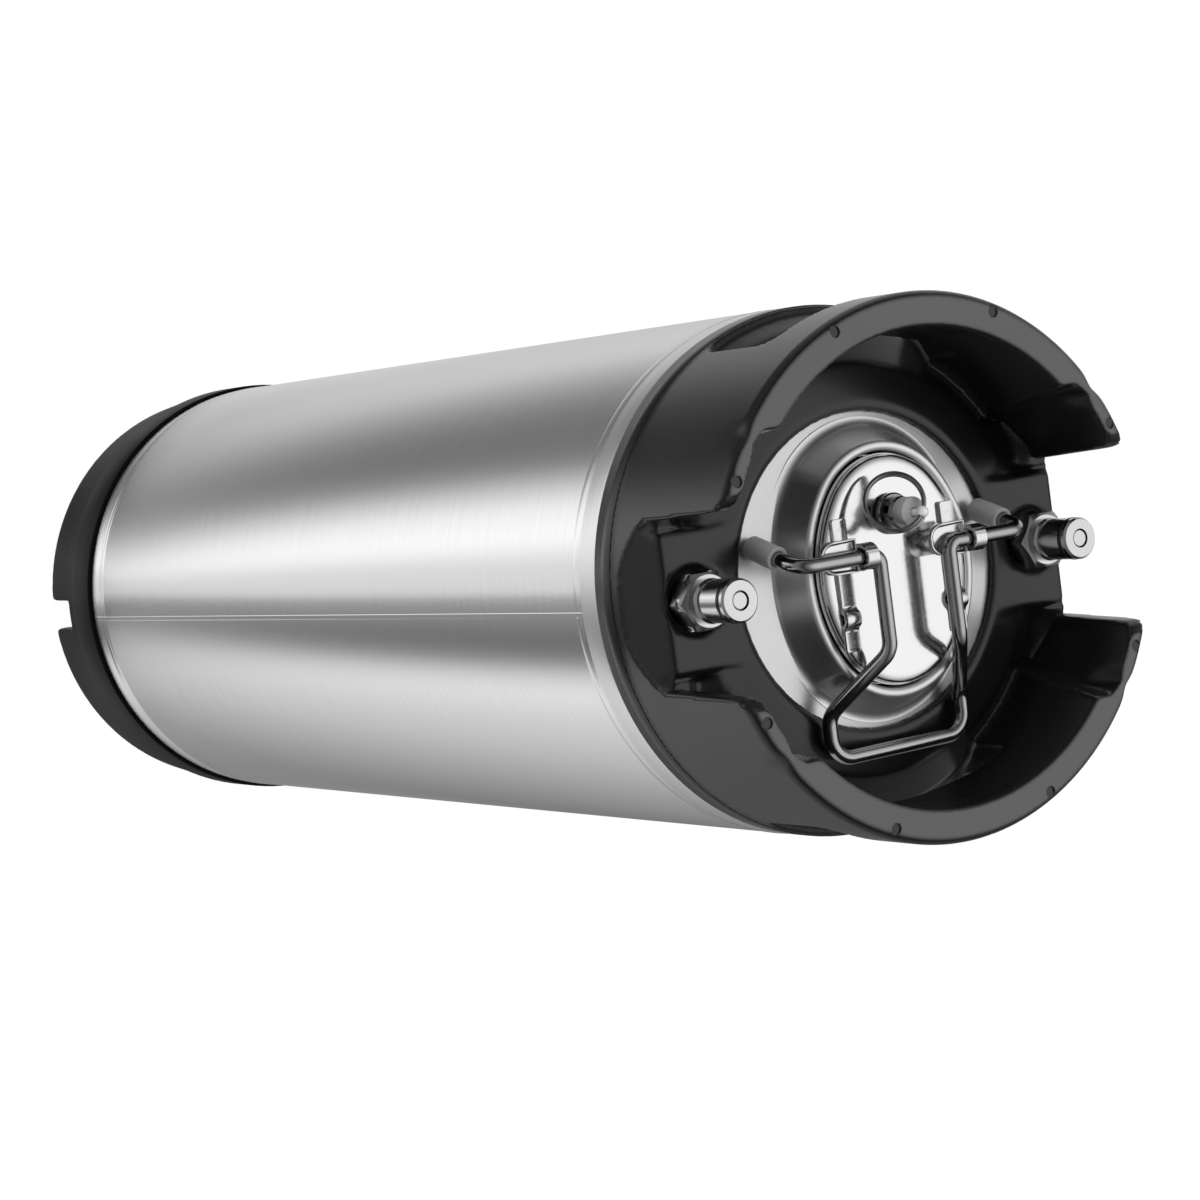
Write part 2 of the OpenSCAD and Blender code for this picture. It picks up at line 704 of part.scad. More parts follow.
module collar_wall() {
    difference() {
        rotate_extrude($fn = 180) wall_section(wide_rim_r);
        intersection() {
            pocket_prism();
            cylinder(r = thin_wall_r, h = total_h + overrun, $fn = 180);
        }
        along_x(2 * shell_d) post_cutout();
    }
}

// Hand hole: a rounded slot through the wall, with a sill that climbs inward over the domed end
module hand_hole() {
    mid_z = (hand_sill_z + hand_top_z) / 2;
    rise = (hand_top_z - hand_sill_z) / 2 - hand_corner_r;
    reach = hand_hole_w / 2 - hand_corner_r;
    intersection() {
        translate([0, wall_r, mid_z]) along_y(4 * rim_depth) polygon(concat(
            arc([reach, rise], hand_corner_r, 0, 90, 8),
            arc([-reach, rise], hand_corner_r, 90, 180, 8),
            arc([-reach, -rise], hand_corner_r, 180, 270, 8),
            arc([reach, -rise], hand_corner_r, 270, 360, 8)));
        rotate_extrude(angle = 180, $fn = 180) polygon([
            [wall_r + rim_depth, hand_sill_z],
            [wall_r - hand_sill_t, hand_sill_z],
            [thin_wall_r, gutter_z],
            [shelf_r, shelf_z],
            [shelf_r - floor_lip_w, shelf_z + floor_lip_w],
            [shelf_r - floor_lip_w, hand_top_z],
            [wall_r + rim_depth, hand_top_z]
        ]);
    }
}

module top_collar() {
    color("#2c2d2e") difference() {
        union() {
            collar_wall();
            collar_floor();
            post_pads();
        }
        translate([0, 0, top_spring_z]) head_form();
        for (side = [0, 180]) rotate([0, 0, side]) {
            hand_hole();
            translate([post_x, 0, pad_z - pad_recess_depth]) cylinder(r = pad_recess_r, h = total_h - pad_z);
            translate([post_x, 0, steel_top_z]) cylinder(r = stub_r + stub_fit, h = total_h - steel_top_z);
            for (az = dimple_angles) rotate([0, 0, 90 + az])
                translate([wall_r - dimple_inset, 0, total_h - dimple_depth])
                    cylinder(r = dimple_d / 2, h = dimple_depth + overrun, $fn = 32);
        }
    }
}

// Notch that lets water drain from under the keg, with round top corners and a flared mouth
module drain_notch() {
    half = concat(
        [[notch_w / 2 + notch_r, -overrun]],
        arc([notch_w / 2 + notch_r, notch_r], notch_r, 270, 180, 6),
        arc([notch_w / 2 - notch_r, notch_h - notch_r], notch_r, 0, 90, 6));
    polygon(concat(half, [for (p = reversed(half)) [-p.x, p.y]]));
}

module bottom_boot() {
    boot_r = shell_r + boot_proud;
    foot_r = boot_r - foot_inset;
    boot_seat_r = foot_r - foot_t - boot_seat_w;
    color("#2c2d2e") difference() {
        rotate_extrude($fn = 180) polygon(concat(
            [[foot_r - foot_t, 0]],
            arc([foot_r - boot_edge_r, boot_edge_r], boot_edge_r, 270, 360, 6),
            [[boot_r - boot_crease, foot_h], [boot_r, foot_h + boot_edge_r]],
            arc([boot_r - boot_lip_r, boot_h - boot_lip_r], boot_lip_r, 0, 90, 6),
            [[knuckle_x, boot_h],
             [boot_seat_r, bottom_steel_z(boot_seat_r)],
             [boot_seat_r, bottom_steel_z(boot_seat_r) - boot_seat_t],
             [foot_r - foot_t - boot_crease, bottom_steel_z(boot_seat_r) - 2 * boot_seat_t]]));
        translate([0, 0, bottom_spring_z]) mirror([0, 0, 1]) head_form();
        along_x(2 * shell_d) drain_notch();
    }
}

module lid_plate() {
    shoulder_centre = [-lid_inset - lid_shoulder_w, lid_top_z - lid_shoulder_r];
    edge_angle = acos((lid_shoulder_w - lid_edge_r) / (lid_shoulder_r - lid_edge_r));
    edge_centre = shoulder_centre + (lid_shoulder_r - lid_edge_r) * [cos(edge_angle), sin(edge_angle)];
    inner_angle = acos((lid_shoulder_w - lid_t) / (lid_shoulder_r - lid_t));
    color("#d8dadb") difference() {
        union() {
            oval_sweep() polygon(concat(
                [shoulder_centre + [-overrun, lid_shoulder_r]],
                arc(shoulder_centre, lid_shoulder_r, 90, edge_angle, 8),
                arc(edge_centre, lid_edge_r, edge_angle, 0, 6),
                [[-lid_inset, flange_top_z],
                 [flange_reach, flange_top_z],
                 [flange_reach, flange_top_z - lid_t],
                 [-lid_inset - lid_t, flange_top_z - lid_t]],
                arc(shoulder_centre, lid_shoulder_r - lid_t, inner_angle, 90, 8),
                [shoulder_centre + [-overrun, lid_shoulder_r - lid_t]]));
            oval_plate(-lid_inset - lid_shoulder_w, lid_top_z - lid_t, lid_top_z);
        }
        translate([0, prv_y, lid_top_z - lid_t - overrun])
            cylinder(r = prv_shank_r, h = lid_t + 2 * overrun);
    }
}

module lid_seal() {
    middle = -lid_inset + seal_fit + seal_r;
    lap_angle = bend_lap / side_arc_r * 180 / PI;
    color("#1c1c1d") for (side = [0, 180]) rotate([0, 0, side]) {
        translate([-side_cx, 0, seal_z]) rotate([0, 0, -side_angle - lap_angle])
            rotate_extrude(angle = 2 * (side_angle + lap_angle), $fn = 180)
                translate([side_arc_r + middle, 0]) circle(r = seal_r, $fn = 32);
        translate([0, end_cy, seal_z]) rotate([0, 0, side_angle])
            rotate_extrude(angle = 180 - 2 * side_angle, $fn = 180)
                translate([neck_end_r + middle, 0]) circle(r = seal_r + bend_swell, $fn = 32);
    }
}

// Strap bent round the wire: a tab, a trough with an upright each side, and a lower
// strap with a stamped hump. The band at one end is the bearing of the bail.
module bail_bracket(x) {
    outer_r = bearing_r + strap_t;
    riser_t = strap_t - 2 * riser_inset;
    back_y = hinge_y + outer_r - riser_inset;
    front_y = hinge_y - outer_r + riser_inset;
    band_x = band_offset - band_l / 2;
    hollow_r = hump_r - strap_t;
    translate([x, 0, 0]) {
        along_x(strap_w) {
            for (y = [back_y - riser_t, front_y])
                translate([y, lid_top_z]) square([riser_t, hinge_z - lid_top_z]);
            translate([back_y - riser_t, lid_top_z]) square([tab_end_y - back_y + riser_t, strap_t]);
            translate([-strap_end_y, lid_top_z]) square([strap_end_y - hump_y - hollow_r, strap_t]);
            translate([-hump_y + hollow_r, lid_top_z])
                square([hump_y - hollow_r + front_y + riser_t, strap_t]);
            translate([-hump_y, lid_top_z]) intersection() {
                difference() {
                    circle(r = hump_r, $fn = 48);
                    circle(r = hollow_r, $fn = 48);
                }
                translate([-hump_r, 0]) square([2 * hump_r, hump_r]);
            }
        }
        translate([band_x, hinge_y, hinge_z]) rotate([0, 90, 0]) {
            difference() {
                cylinder(r = outer_r, h = band_l, $fn = 64);
                translate([0, 0, -overrun]) cylinder(r = bearing_r, h = band_l + 2 * overrun, $fn = 64);
            }
            rotate([0, 0, trough_from_angle + 90])
                rotate_extrude(angle = trough_to_angle - trough_from_angle, $fn = 64)
                    translate([bearing_r, -trough_l]) square([strap_t, trough_l]);
        }
        for (y = [tab_end_y - strap_w / 2, -strap_end_y + strap_w / 2, (hinge_y - hump_y) / 2])
            translate([0, y, lid_top_z + strap_t]) cylinder(r = spot_r, h = spot_h, $fn = 24);
    }
}

module left_bail_bracket() {
    color("#c6c8ca") bail_bracket(-bracket_spacing / 2);
}

module right_bail_bracket() {
    color("#c6c8ca") bail_bracket(bracket_spacing / 2);
}

// Half of the bail, from the end inside a foot to the far side of the loop
function bail_half(side) = [
    [side * foot_x, hinge_y, hinge_z] + foot_dir * (foot_reach - foot_cap_t),
    [side * foot_x, hinge_y, hinge_z],
    [side * leg_x, hinge_y, hinge_z],
    [side * leg_x, hinge_y - leg_l, hinge_z],
    [side * loop_x, loop_side_l - loop_reach, hinge_z - loop_drop],
    [side * loop_x, -loop_reach, hinge_z - loop_drop]
];

module lid_bail() {
    bends = [0, arm_bend_r, hinge_bend_r, loop_bend_r, loop_bend_r, loop_bend_r];
    color("#b9bbbd")
        bent_rod(concat(bail_half(-1), reversed(bail_half(1))), concat(bends, reversed(bends)), bail_r);
}

module bail_foot(side) {
    side_dir = [1, 0, 0];
    color("#6d6f72") placed([side * foot_x, hinge_y, hinge_z], side_dir, cross(foot_dir, side_dir), foot_dir)
        difference() {
            translate([0, 0, foot_reach - foot_l]) cylinder(r = foot_d / 2, h = foot_l, $fn = 64);
            cylinder(r = bail_r, h = foot_reach - foot_cap_t, $fn = 32);
        }
}

module left_bail_foot() {
    bail_foot(-1);
}

module right_bail_foot() {
    bail_foot(1);
}

module prv_nut() {
    color("#b4b6b8") translate([0, prv_y, lid_top_z - lid_t - prv_nut_h]) difference() {
        cylinder(r = prv_nut_af / 2 / cos(30), h = prv_nut_h, $fn = 6);
        translate([0, 0, -overrun]) cylinder(r = prv_shank_r, h = prv_nut_h + 2 * overrun);
    }
}

module prv_gasket() {
    color("#1c1c1d") translate([0, prv_y, lid_top_z]) difference() {
        cylinder(r = prv_flange_r - prv_edge, h = prv_gasket_t);
        translate([0, 0, -overrun]) cylinder(r = prv_shank_r, h = prv_gasket_t + 2 * overrun);
    }
}

module prv_body() {
    floor_z = prv_seat_z - prv_seat_h / 2;
    color("#a9abad") difference() {
        translate([0, prv_y, 0]) rotate_extrude() polygon([
            [prv_inlet_r, lid_top_z - prv_shank_l],
            [prv_shank_r, lid_top_z - prv_shank_l],
            [prv_shank_r, prv_flange_z],
            [prv_flange_r, prv_flange_z],
            [prv_flange_r, prv_body_z - prv_edge],
            [prv_flange_r - prv_edge, prv_body_z],
            [prv_body_r, prv_body_z],
            [prv_body_r, prv_cap_z - prv_body_r + prv_neck_r],
            [prv_neck_r, prv_cap_z],
            [prv_neck_r, prv_socket_z],
            [prv_chamber_r, prv_socket_z],
            [prv_chamber_r, floor_z],
            [prv_inlet_r + prv_edge, floor_z],
            [prv_inlet_r + prv_edge, prv_seat_z],
            [prv_inlet_r, prv_seat_z]
        ]);
        translate([0, prv_y, prv_body_z + prv_body_h / 2 - prv_edge]) rotate([0, 90, prv_vent_az])
            cylinder(r = prv_vent_r, h = prv_body_r + overrun, $fn = 32);
    }
}

module prv_cap() {
    color("#85878a") translate([0, prv_y, 0]) rotate_extrude() polygon([
        [prv_neck_r, prv_cap_z],
        [prv_cap_r, prv_cap_z],
        [prv_cap_r, prv_cap_top_z - prv_edge],
        [prv_cap_r - prv_edge, prv_cap_top_z],
        [prv_stem_r + stem_fit, prv_cap_top_z],
        [prv_stem_r + stem_fit, prv_socket_z],
        [prv_neck_r, prv_socket_z]
    ]);
}

module prv_spring() {
    color("#9a9c9e") translate([0, prv_y, 0])
        coil_spring(
            prv_chamber_r - prv_spring_fit, prv_spring_wire_r, prv_head_z + prv_head_t, prv_socket_z, 5);
}

module prv_stem() {
    color("#cfd1d3") difference() {
        translate([0, prv_y, 0]) {
            translate([0, 0, prv_head_z]) cylinder(r = prv_head_r, h = prv_head_t);
            translate([0, 0, prv_head_z - prv_seal_t])
                cylinder(r = prv_stem_r, h = prv_eye_z - prv_head_z + prv_seal_t);
            translate([0, 0, prv_eye_z]) sphere(r = prv_eye_r, $fn = 48);
        }
        translate([0, prv_y, prv_eye_z]) rotate([90, 0, ring_az])
            cylinder(r = ring_hole_r, h = 2 * prv_eye_r + overrun, center = true, $fn = 32);
    }
}

module prv_poppet_seal() {
    color("#1c1c1d") translate([0, prv_y, prv_head_z - prv_seal_t]) difference() {
        cylinder(r = prv_inlet_r + 2 * prv_edge, h = prv_seal_t);
        translate([0, 0, -overrun]) cylinder(r = prv_stem_r, h = prv_seal_t + 2 * overrun);
    }
}

// Split ring of two turns of wire that lie against each other, hung through the eye
module prv_ring() {
    toward = [cos(ring_az) * cos(ring_lean), sin(ring_az) * cos(ring_lean), -sin(ring_lean)];
    across = [-sin(ring_az), cos(ring_az), 0];
    color("#8d8f91") placed([0, prv_y, prv_eye_z] + ring_r * toward, toward, across, cross(toward, across))
        rotate_extrude($fn = 96) for (turn = [-1, 1])
            translate([ring_r, turn * (ring_wire_r - ring_press)]) circle(r = ring_wire_r, $fn = 24);
}

module stub(side) {
    base_z = top_steel_z(post_x) - stub_tail;
    color("#a8aaac") translate([side * post_x, 0, 0]) rotate_extrude() polygon([
        [tube_r + tube_fit, base_z],
        [stub_r, base_z],
        [stub_r, hex_base_z],
        [thread_r, hex_base_z],
        [thread_r, stub_top_z],
        [tube_r + tube_fit, stub_top_z]
    ]);
}

// Barrel of a post in section, without its bores
module post_outline() {
    ring_bed_r = post_r + post_ring_proud - post_groove_h;
    polygon([
        [0, hex_base_z],
        [post_r + post_shoulder_step, hex_base_z],
        [post_r + post_shoulder_step, shoulder_top_z - post_edge],
        [post_r + post_shoulder_step - post_edge, shoulder_top_z],
        [post_r - post_lock_depth, shoulder_top_z],
        [post_r - post_lock_depth, lock_top_z - post_lock_depth],
        [post_r, lock_top_z],
        [post_r, barrel_top_z],
        [ring_bed_r, barrel_top_z],
        [ring_bed_r, groove_top_z],
        [post_r, groove_top_z],
        [post_r, face_z - post_edge],
        [post_r - post_edge, face_z],
        [0, face_z]
    ]);
}

module post_bores() {
    rotate_extrude() polygon([
        [0, hex_base_z - overrun],
        [thread_r + thread_clearance, hex_base_z - overrun],
        [thread_r + thread_clearance, tube_top_z],
        [post_chamber_r, tube_top_z],
        [post_chamber_r, seat_base_z],
        [post_hole_r, seat_top_z],
        [post_hole_r, face_z + overrun],
        [0, face_z + overrun]
    ]);
}

module post(side) {
    translate([side * post_x, 0, 0]) difference() {
        union() {
            rotate_extrude() post_outline();
            intersection() {
                translate([0, 0, hex_base_z])
                    cylinder(r = post_hex_af / 2 / cos(30), h = post_hex_h, $fn = 6);
                rotate_extrude() polygon([
                    [0, hex_base_z],
                    [post_hex_af / 2 / cos(30), hex_base_z],
                    [post_hex_af / 2 / cos(30), hex_top_z - 2 * post_edge],
                    [post_hex_af / 2 - post_edge, hex_top_z],
                    [0, hex_top_z]
                ]);
            }
        }
        post_bores();
    }
}

// The gas post is told by the groove cut through the corners of its hexagon
module gas_post() {
    mark_r = post_hex_af / 2 / cos(30) - gas_mark_depth;
    color("#c3c5c7") difference() {
        post(-1);
        translate([-post_x, 0, hex_base_z + (post_hex_h - gas_mark_w) / 2]) difference() {
            cylinder(r = post_hex_af, h = gas_mark_w);
            translate([0, 0, -overrun]) cylinder(r = mark_r, h = gas_mark_w + 2 * overrun);
        }
    }
}

module liquid_post() {
    color("#c3c5c7") post(1);
}

module post_ring(side) {
    color("#1c1c1d") translate([side * post_x, 0, 0])
        ring(post_r + post_ring_proud - post_groove_h / 2, (groove_top_z + barrel_top_z) / 2,
            post_groove_h / 2);
}

module poppet(side) {
    neck_r = poppet_tip_r - poppet_neck_step;
    tip_base_z = seat_top_z - poppet_fit;
    tip_top_z = face_z - poppet_fit;
    color("#b0b2b4") translate([side * post_x, 0, 0]) rotate_extrude() polygon([
        [0, skirt_base_z - poppet_pin_l],
        [poppet_pin_r, skirt_base_z - poppet_pin_l],
        [poppet_pin_r, skirt_base_z],
        [poppet_skirt_r, skirt_base_z],
        [poppet_skirt_r, skirt_top_z],
        [neck_r, skirt_top_z],
        [neck_r, tip_base_z],
        [poppet_tip_r, tip_base_z],
        [poppet_tip_r, tip_top_z - poppet_fit],
        [poppet_tip_r - poppet_fit, tip_top_z],
        [0, tip_top_z]
    ]);
}

module poppet_seal(side) {
    neck_r = poppet_tip_r - poppet_neck_step;
    color("#1c1c1d") translate([side * post_x, 0, 0]) rotate_extrude() polygon([
        [neck_r, skirt_top_z],
        [poppet_skirt_r, skirt_top_z],
        [poppet_skirt_r, skirt_top_z + poppet_fit],
        [poppet_tip_r, seat_top_z - poppet_fit],
        [neck_r, seat_top_z - poppet_fit]
    ]);
}

module poppet_spring(side) {
    color("#9a9c9e") translate([side * post_x, 0, 0])
        coil_spring(tube_r, spring_wire_r, tube_top_z, skirt_base_z, 5);
}

module tube_flange(side) {
    translate([side * post_x, 0, ring_bed_z]) cylinder(r = tube_flange_r, h = tube_flange_t);
}

module gas_dip_tube() {
    tail_z = ring_bed_z - gas_tube_l;
    color("#bfc1c3") difference() {
        union() {
            tube_flange(-1);
            translate([-post_x, 0, tail_z]) cylinder(r = tube_r, h = tube_top_z - tail_z);
        }
        translate([-post_x, 0, tail_z - overrun])
            cylinder(r = tube_r - tube_wall, h = tube_top_z - tail_z + 2 * overrun);
    }
}

// The liquid tube runs down to the sump at the middle of the lower domed end
module liquid_dip_tube() {
    top = [post_x, 0, tube_top_z];
    corner = [post_x, 0, liquid_bend_z];
    end = [liquid_end_x, 0, liquid_end_z];
    color("#bfc1c3") difference() {
        union() {
            tube_flange(1);
            bent_rod([top, corner, end], [0, liquid_bend_r, 0], tube_r);
        }
        bent_rod([top + [0, 0, overrun], corner, end + overrun * unit(end - corner)],
            [0, liquid_bend_r, 0], tube_r - tube_wall);
    }
}

module tube_ring(side) {
    color("#1c1c1d") translate([side * post_x, 0, 0])
        ring(tube_r + tube_fit + tube_ring_r, stub_top_z + tube_ring_r, tube_ring_r);
}

shell_body();
top_dome();
bottom_dome();
top_collar();
bottom_boot();
lid_plate();
lid_seal();
left_bail_bracket();
right_bail_bracket();
lid_bail();
left_bail_foot();
right_bail_foot();
prv_nut();
prv_gasket();
prv_body();
prv_cap();
prv_spring();
prv_stem();
prv_poppet_seal();
prv_ring();
stub(-1);  // gas_stub
gas_post();
post_ring(-1);  // gas_post_ring
poppet(-1);  // gas_poppet
poppet_seal(-1);  // gas_poppet_seal
poppet_spring(-1);  // gas_poppet_spring
gas_dip_tube();
tube_ring(-1);  // gas_tube_ring
stub(1);  // liquid_stub
liquid_post();
post_ring(1);  // liquid_post_ring
poppet(1);  // liquid_poppet
poppet_seal(1);  // liquid_poppet_seal
poppet_spring(1);  // liquid_poppet_spring
liquid_dip_tube();
tube_ring(1);  // liquid_tube_ring
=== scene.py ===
# The looks of the ball lock keg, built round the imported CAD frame. Everything is in
# metres and in the CAD's frame: the keg stands on z = 0, X runs through the two posts
# with the gas post at -X, and Y runs through the hand holes with the relief valve at +Y.
import math

import bmesh
import bpy
from mathutils import Matrix, Vector


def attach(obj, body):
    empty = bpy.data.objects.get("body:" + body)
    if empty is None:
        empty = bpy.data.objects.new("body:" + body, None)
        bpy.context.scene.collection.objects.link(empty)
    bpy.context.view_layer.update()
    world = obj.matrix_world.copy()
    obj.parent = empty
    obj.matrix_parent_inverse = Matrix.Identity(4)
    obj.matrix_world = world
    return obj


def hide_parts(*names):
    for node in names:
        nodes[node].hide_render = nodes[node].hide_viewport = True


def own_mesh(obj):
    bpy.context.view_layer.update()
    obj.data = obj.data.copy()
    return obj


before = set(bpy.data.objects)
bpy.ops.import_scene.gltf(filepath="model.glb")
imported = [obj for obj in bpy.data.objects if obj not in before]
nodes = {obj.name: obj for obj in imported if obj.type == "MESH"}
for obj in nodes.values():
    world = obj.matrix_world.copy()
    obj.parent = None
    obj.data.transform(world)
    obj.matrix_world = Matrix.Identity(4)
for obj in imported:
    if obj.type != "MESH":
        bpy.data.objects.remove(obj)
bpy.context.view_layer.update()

# Camera: above the gas side of the collar, looking down along the keg, rolled so that
# the relief valve's side is up in the picture. Fitted to the shell's circle, to the
# collar's rim and to the two posts as the photograph shows them.
CAMERA_PLACE = (-0.74007, 0.09087, 1.54860)
CAMERA_RIGHT = (0.83151, -0.12921, 0.54028)
CAMERA_BACK = (-0.53532, 0.07348, 0.84145)
scene = bpy.context.scene
camera = bpy.data.objects.new("camera", bpy.data.cameras.new("camera"))
scene.collection.objects.link(camera)
scene.camera = camera
camera.data.lens = 91.006
camera.data.sensor_width = 36.0
camera.data.clip_start = 0.05
camera.data.clip_end = 30.0
camera_right = Vector(CAMERA_RIGHT).normalized()
camera_back = Vector(CAMERA_BACK).normalized()
camera_right = (camera_right - camera_back * camera_right.dot(camera_back)).normalized()
camera_turn = Matrix((camera_right, camera_back.cross(camera_right), camera_back)).transposed()
camera.matrix_world = Matrix.Translation(CAMERA_PLACE) @ camera_turn.to_4x4()


# Studio: a white paper floor and a white surround. The camera sees both as plain white,
# with a trace of the keg's shadow. Metal sees the surround as a photographer's set of
# white cards and black flags, which is what bands polished and brushed steel.
def srgb(code):
    """A colour as the shaders want it, from its sRGB hex code."""
    parts = [int(code[i:i + 2], 16) / 255 for i in (1, 3, 5)]
    return [p / 12.92 if p <= 0.04045 else ((p + 0.055) / 1.055) ** 2.4 for p in parts] + [1]


def add(tree, kind, settings=None, inputs=None):
    """Adds a shader node. Each input is given a value, or a socket that is linked to it."""
    made = tree.nodes.new("ShaderNode" + kind)
    for name, value in (settings or {}).items():
        setattr(made, name, value)
    for name, value in (inputs or {}).items():
        if isinstance(value, bpy.types.NodeSocket):
            tree.links.new(value, made.inputs[name])
        else:
            made.inputs[name].default_value = value
    return made


def stops(ramp, points):
    """Sets a colour ramp to (place, grey or hex colour) stops."""
    ramp = ramp.color_ramp
    while len(ramp.elements) > 1:
        ramp.elements.remove(ramp.elements[-1])
    for i, (place, colour) in enumerate(points):
        stop = ramp.elements[0] if i == 0 else ramp.elements.new(place)
        stop.position = place
        stop.color = srgb(colour) if isinstance(colour, str) else (colour, colour, colour, 1)


def new_material(name):
    """A material with an empty node tree, given back with the tree and its output."""
    made = bpy.data.materials.new(name)
    made.use_nodes = True
    made.node_tree.nodes.clear()
    return made, made.node_tree, add(made.node_tree, "OutputMaterial")


def mirrored_ray(tree, rays):
    """A socket that is 1 for what steel or plastic mirrors or lets through, and else 0."""
    either = {0: rays.outputs["Is Glossy Ray"], 1: rays.outputs["Is Transmission Ray"]}
    return add(tree, "Math", {"operation": "MAXIMUM"}, either).outputs[0]


FLOOR_HALF = 6.0
floor_mesh = bpy.data.meshes.new("floor")
bm = bmesh.new()
bmesh.ops.create_grid(bm, x_segments=1, y_segments=1, size=FLOOR_HALF)
bm.to_mesh(floor_mesh)
bm.free()
floor = bpy.data.objects.new("floor", floor_mesh)
scene.collection.objects.link(floor)
# Matt white paper. The camera sees it white, and a twentieth of the light is left to it
# for a shadow. Mirrors look through it, to the cards below the horizon.
material, tree, out = new_material("white_paper")
rays = add(tree, "LightPath")
paper = add(tree, "BsdfDiffuse", inputs={"Color": srgb("#f4f4f4")})
glow = add(tree, "Emission", inputs={"Color": (1, 1, 1, 1), "Strength": 0.98})
thin_paper = add(tree, "BsdfDiffuse", inputs={"Color": (0.05, 0.05, 0.05, 1)})
lit = add(tree, "AddShader", inputs={0: glow.outputs[0], 1: thin_paper.outputs[0]})
seen = add(tree, "MixShader", inputs={
    0: rays.outputs["Is Camera Ray"], 1: paper.outputs[0], 2: lit.outputs[0]})
clear = add(tree, "BsdfTransparent")
seen = add(tree, "MixShader", inputs={
    0: mirrored_ray(tree, rays), 1: seen.outputs[0], 2: clear.outputs[0]})
tree.links.new(seen.outputs[0], out.inputs["Surface"])
floor_mesh.materials.append(material)

# Cards and flags that stand round the keg, by direction: 0 is -X, 0.5 is +X, 0.75 is +Y
CARDS = [
    (0.000, 0.29), (0.022, 0.23), (0.049, 0.12), (0.070, 0.16), (0.090, 0.62), (0.110, 0.80),
    (0.135, 0.65), (0.190, 0.51), (0.245, 0.35), (0.300, 0.24), (0.355, 0.16), (0.385, 0.13),
    (0.415, 0.20), (0.438, 0.36), (0.462, 0.12), (0.495, 0.13), (0.512, 0.50), (0.525, 0.60),
    (0.580, 0.51), (0.660, 0.57), (0.695, 0.62), (0.720, 0.45), (0.745, 0.32), (0.772, 0.20),
    (0.800, 0.15), (0.830, 0.15), (0.855, 0.20), (0.880, 0.55), (0.905, 0.90), (0.938, 1.00),
    (0.966, 0.68)]
# Overhead: a wide white ceiling card that leans towards +X, darker behind the camera
CEILING_WAY = (0.50, -0.10, 0.86)
CEILING = [
    (0.0, 0.24), (0.22, 0.16), (0.40, 0.05), (0.48, 0.05), (0.60, 0.15), (0.76, 0.26),
    (0.86, 0.55), (0.92, 0.78), (1.0, 0.86)]
world = bpy.data.worlds.new("studio")
scene.world = world
world.use_nodes = True
tree = world.node_tree
tree.nodes.clear()
out = add(tree, "OutputWorld")
rays = add(tree, "LightPath")
where = add(tree, "TexCoord").outputs["Generated"]
axes = add(tree, "SeparateXYZ", inputs={0: where})
turn = add(tree, "Math", {"operation": "ARCTAN2"}, {0: axes.outputs["Y"], 1: axes.outputs["X"]})
turn = add(tree, "MapRange", inputs={
    "Value": turn.outputs[0], "From Min": -math.pi, "From Max": math.pi})
cards = add(tree, "ValToRGB", inputs={"Fac": turn.outputs[0]})
stops(cards, CARDS)
lean = add(tree, "VectorMath", {"operation": "DOT_PRODUCT"}, {0: where, 1: CEILING_WAY})
ceiling = add(tree, "ValToRGB", inputs={"Fac": lean.outputs["Value"]})
stops(ceiling, CEILING)
up = add(tree, "MapRange", inputs={"Value": axes.outputs["Z"], "From Min": -0.25, "From Max": 0.35})
studio_set = add(tree, "Mix", {"data_type": "RGBA"}, {
    "Factor": up.outputs[0], 6: cards.outputs[0], 7: ceiling.outputs[0]})
studio = add(tree, "Background", inputs={"Color": studio_set.outputs[2], "Strength": 1.4})
soft = add(tree, "Background", inputs={"Color": srgb("#d6d6d6"), "Strength": 0.7})
plain = add(tree, "Background", inputs={"Color": (1, 1, 1, 1), "Strength": 1.0})
seen = add(tree, "MixShader", inputs={
    0: mirrored_ray(tree, rays), 1: soft.outputs[0], 2: studio.outputs[0]})
seen = add(tree, "MixShader", inputs={
    0: rays.outputs["Is Camera Ray"], 1: seen.outputs[0], 2: plain.outputs[0]})
tree.links.new(seen.outputs[0], out.inputs["Surface"])
scene.view_settings.view_transform = "Standard"


def soft_box(name, place, towards, size, power):
    """A rectangular studio lamp. Mirrors see the cards instead of it."""
    lamp = bpy.data.lights.new(name, "AREA")
    lamp.shape = "RECTANGLE"
    lamp.size, lamp.size_y = size
    lamp.energy = power
    made = bpy.data.objects.new(name, lamp)
    made.location = place
    made.rotation_mode = "QUATERNION"
    made.rotation_quaternion = (Vector(towards) - Vector(place)).to_track_quat("-Z", "Y")
    made.visible_glossy = False
    scene.collection.objects.link(made)


soft_box("top_light", (0.2, 1.5, 2.2), (0, 0, 0.5), (1.6, 1.0), 24)
soft_box("side_light", (-1.5, -1.0, 1.4), (0, 0, 0.3), (1.2, 1.2), 10)


# Shell: one sheet of stainless steel, rolled, seam welded and brushed round. The brush
# marks run round the keg, so reflections smear along it and show as lengthwise bands.
# A weld line and two rolled grooves run round it near each end.
def piece(name, bm, body, node=None):
    """Makes a smooth piece of a bmesh. It rides on a body and may stand for a CAD node."""
    mesh = bpy.data.meshes.new(name)
    bm.to_mesh(mesh)
    bm.free()
    mesh.polygons.foreach_set("use_smooth", [True] * len(mesh.polygons))
    made = bpy.data.objects.new(name, mesh)
    scene.collection.objects.link(made)
    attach(made, body)
    if node:
        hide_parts(node)
    return made


def dress(made, material):
    """Gives a piece its material."""
    made.data.materials.clear()
    made.data.materials.append(material)


def wear(node, material):
    """Gives a CAD node its material."""
    dress(nodes[node], material)


MM = 0.001
SHELL_R, SHELL_T = 108.0, 1.2
WELD_LOW_Z, WELD_HIGH_Z = 71.0, 541.0
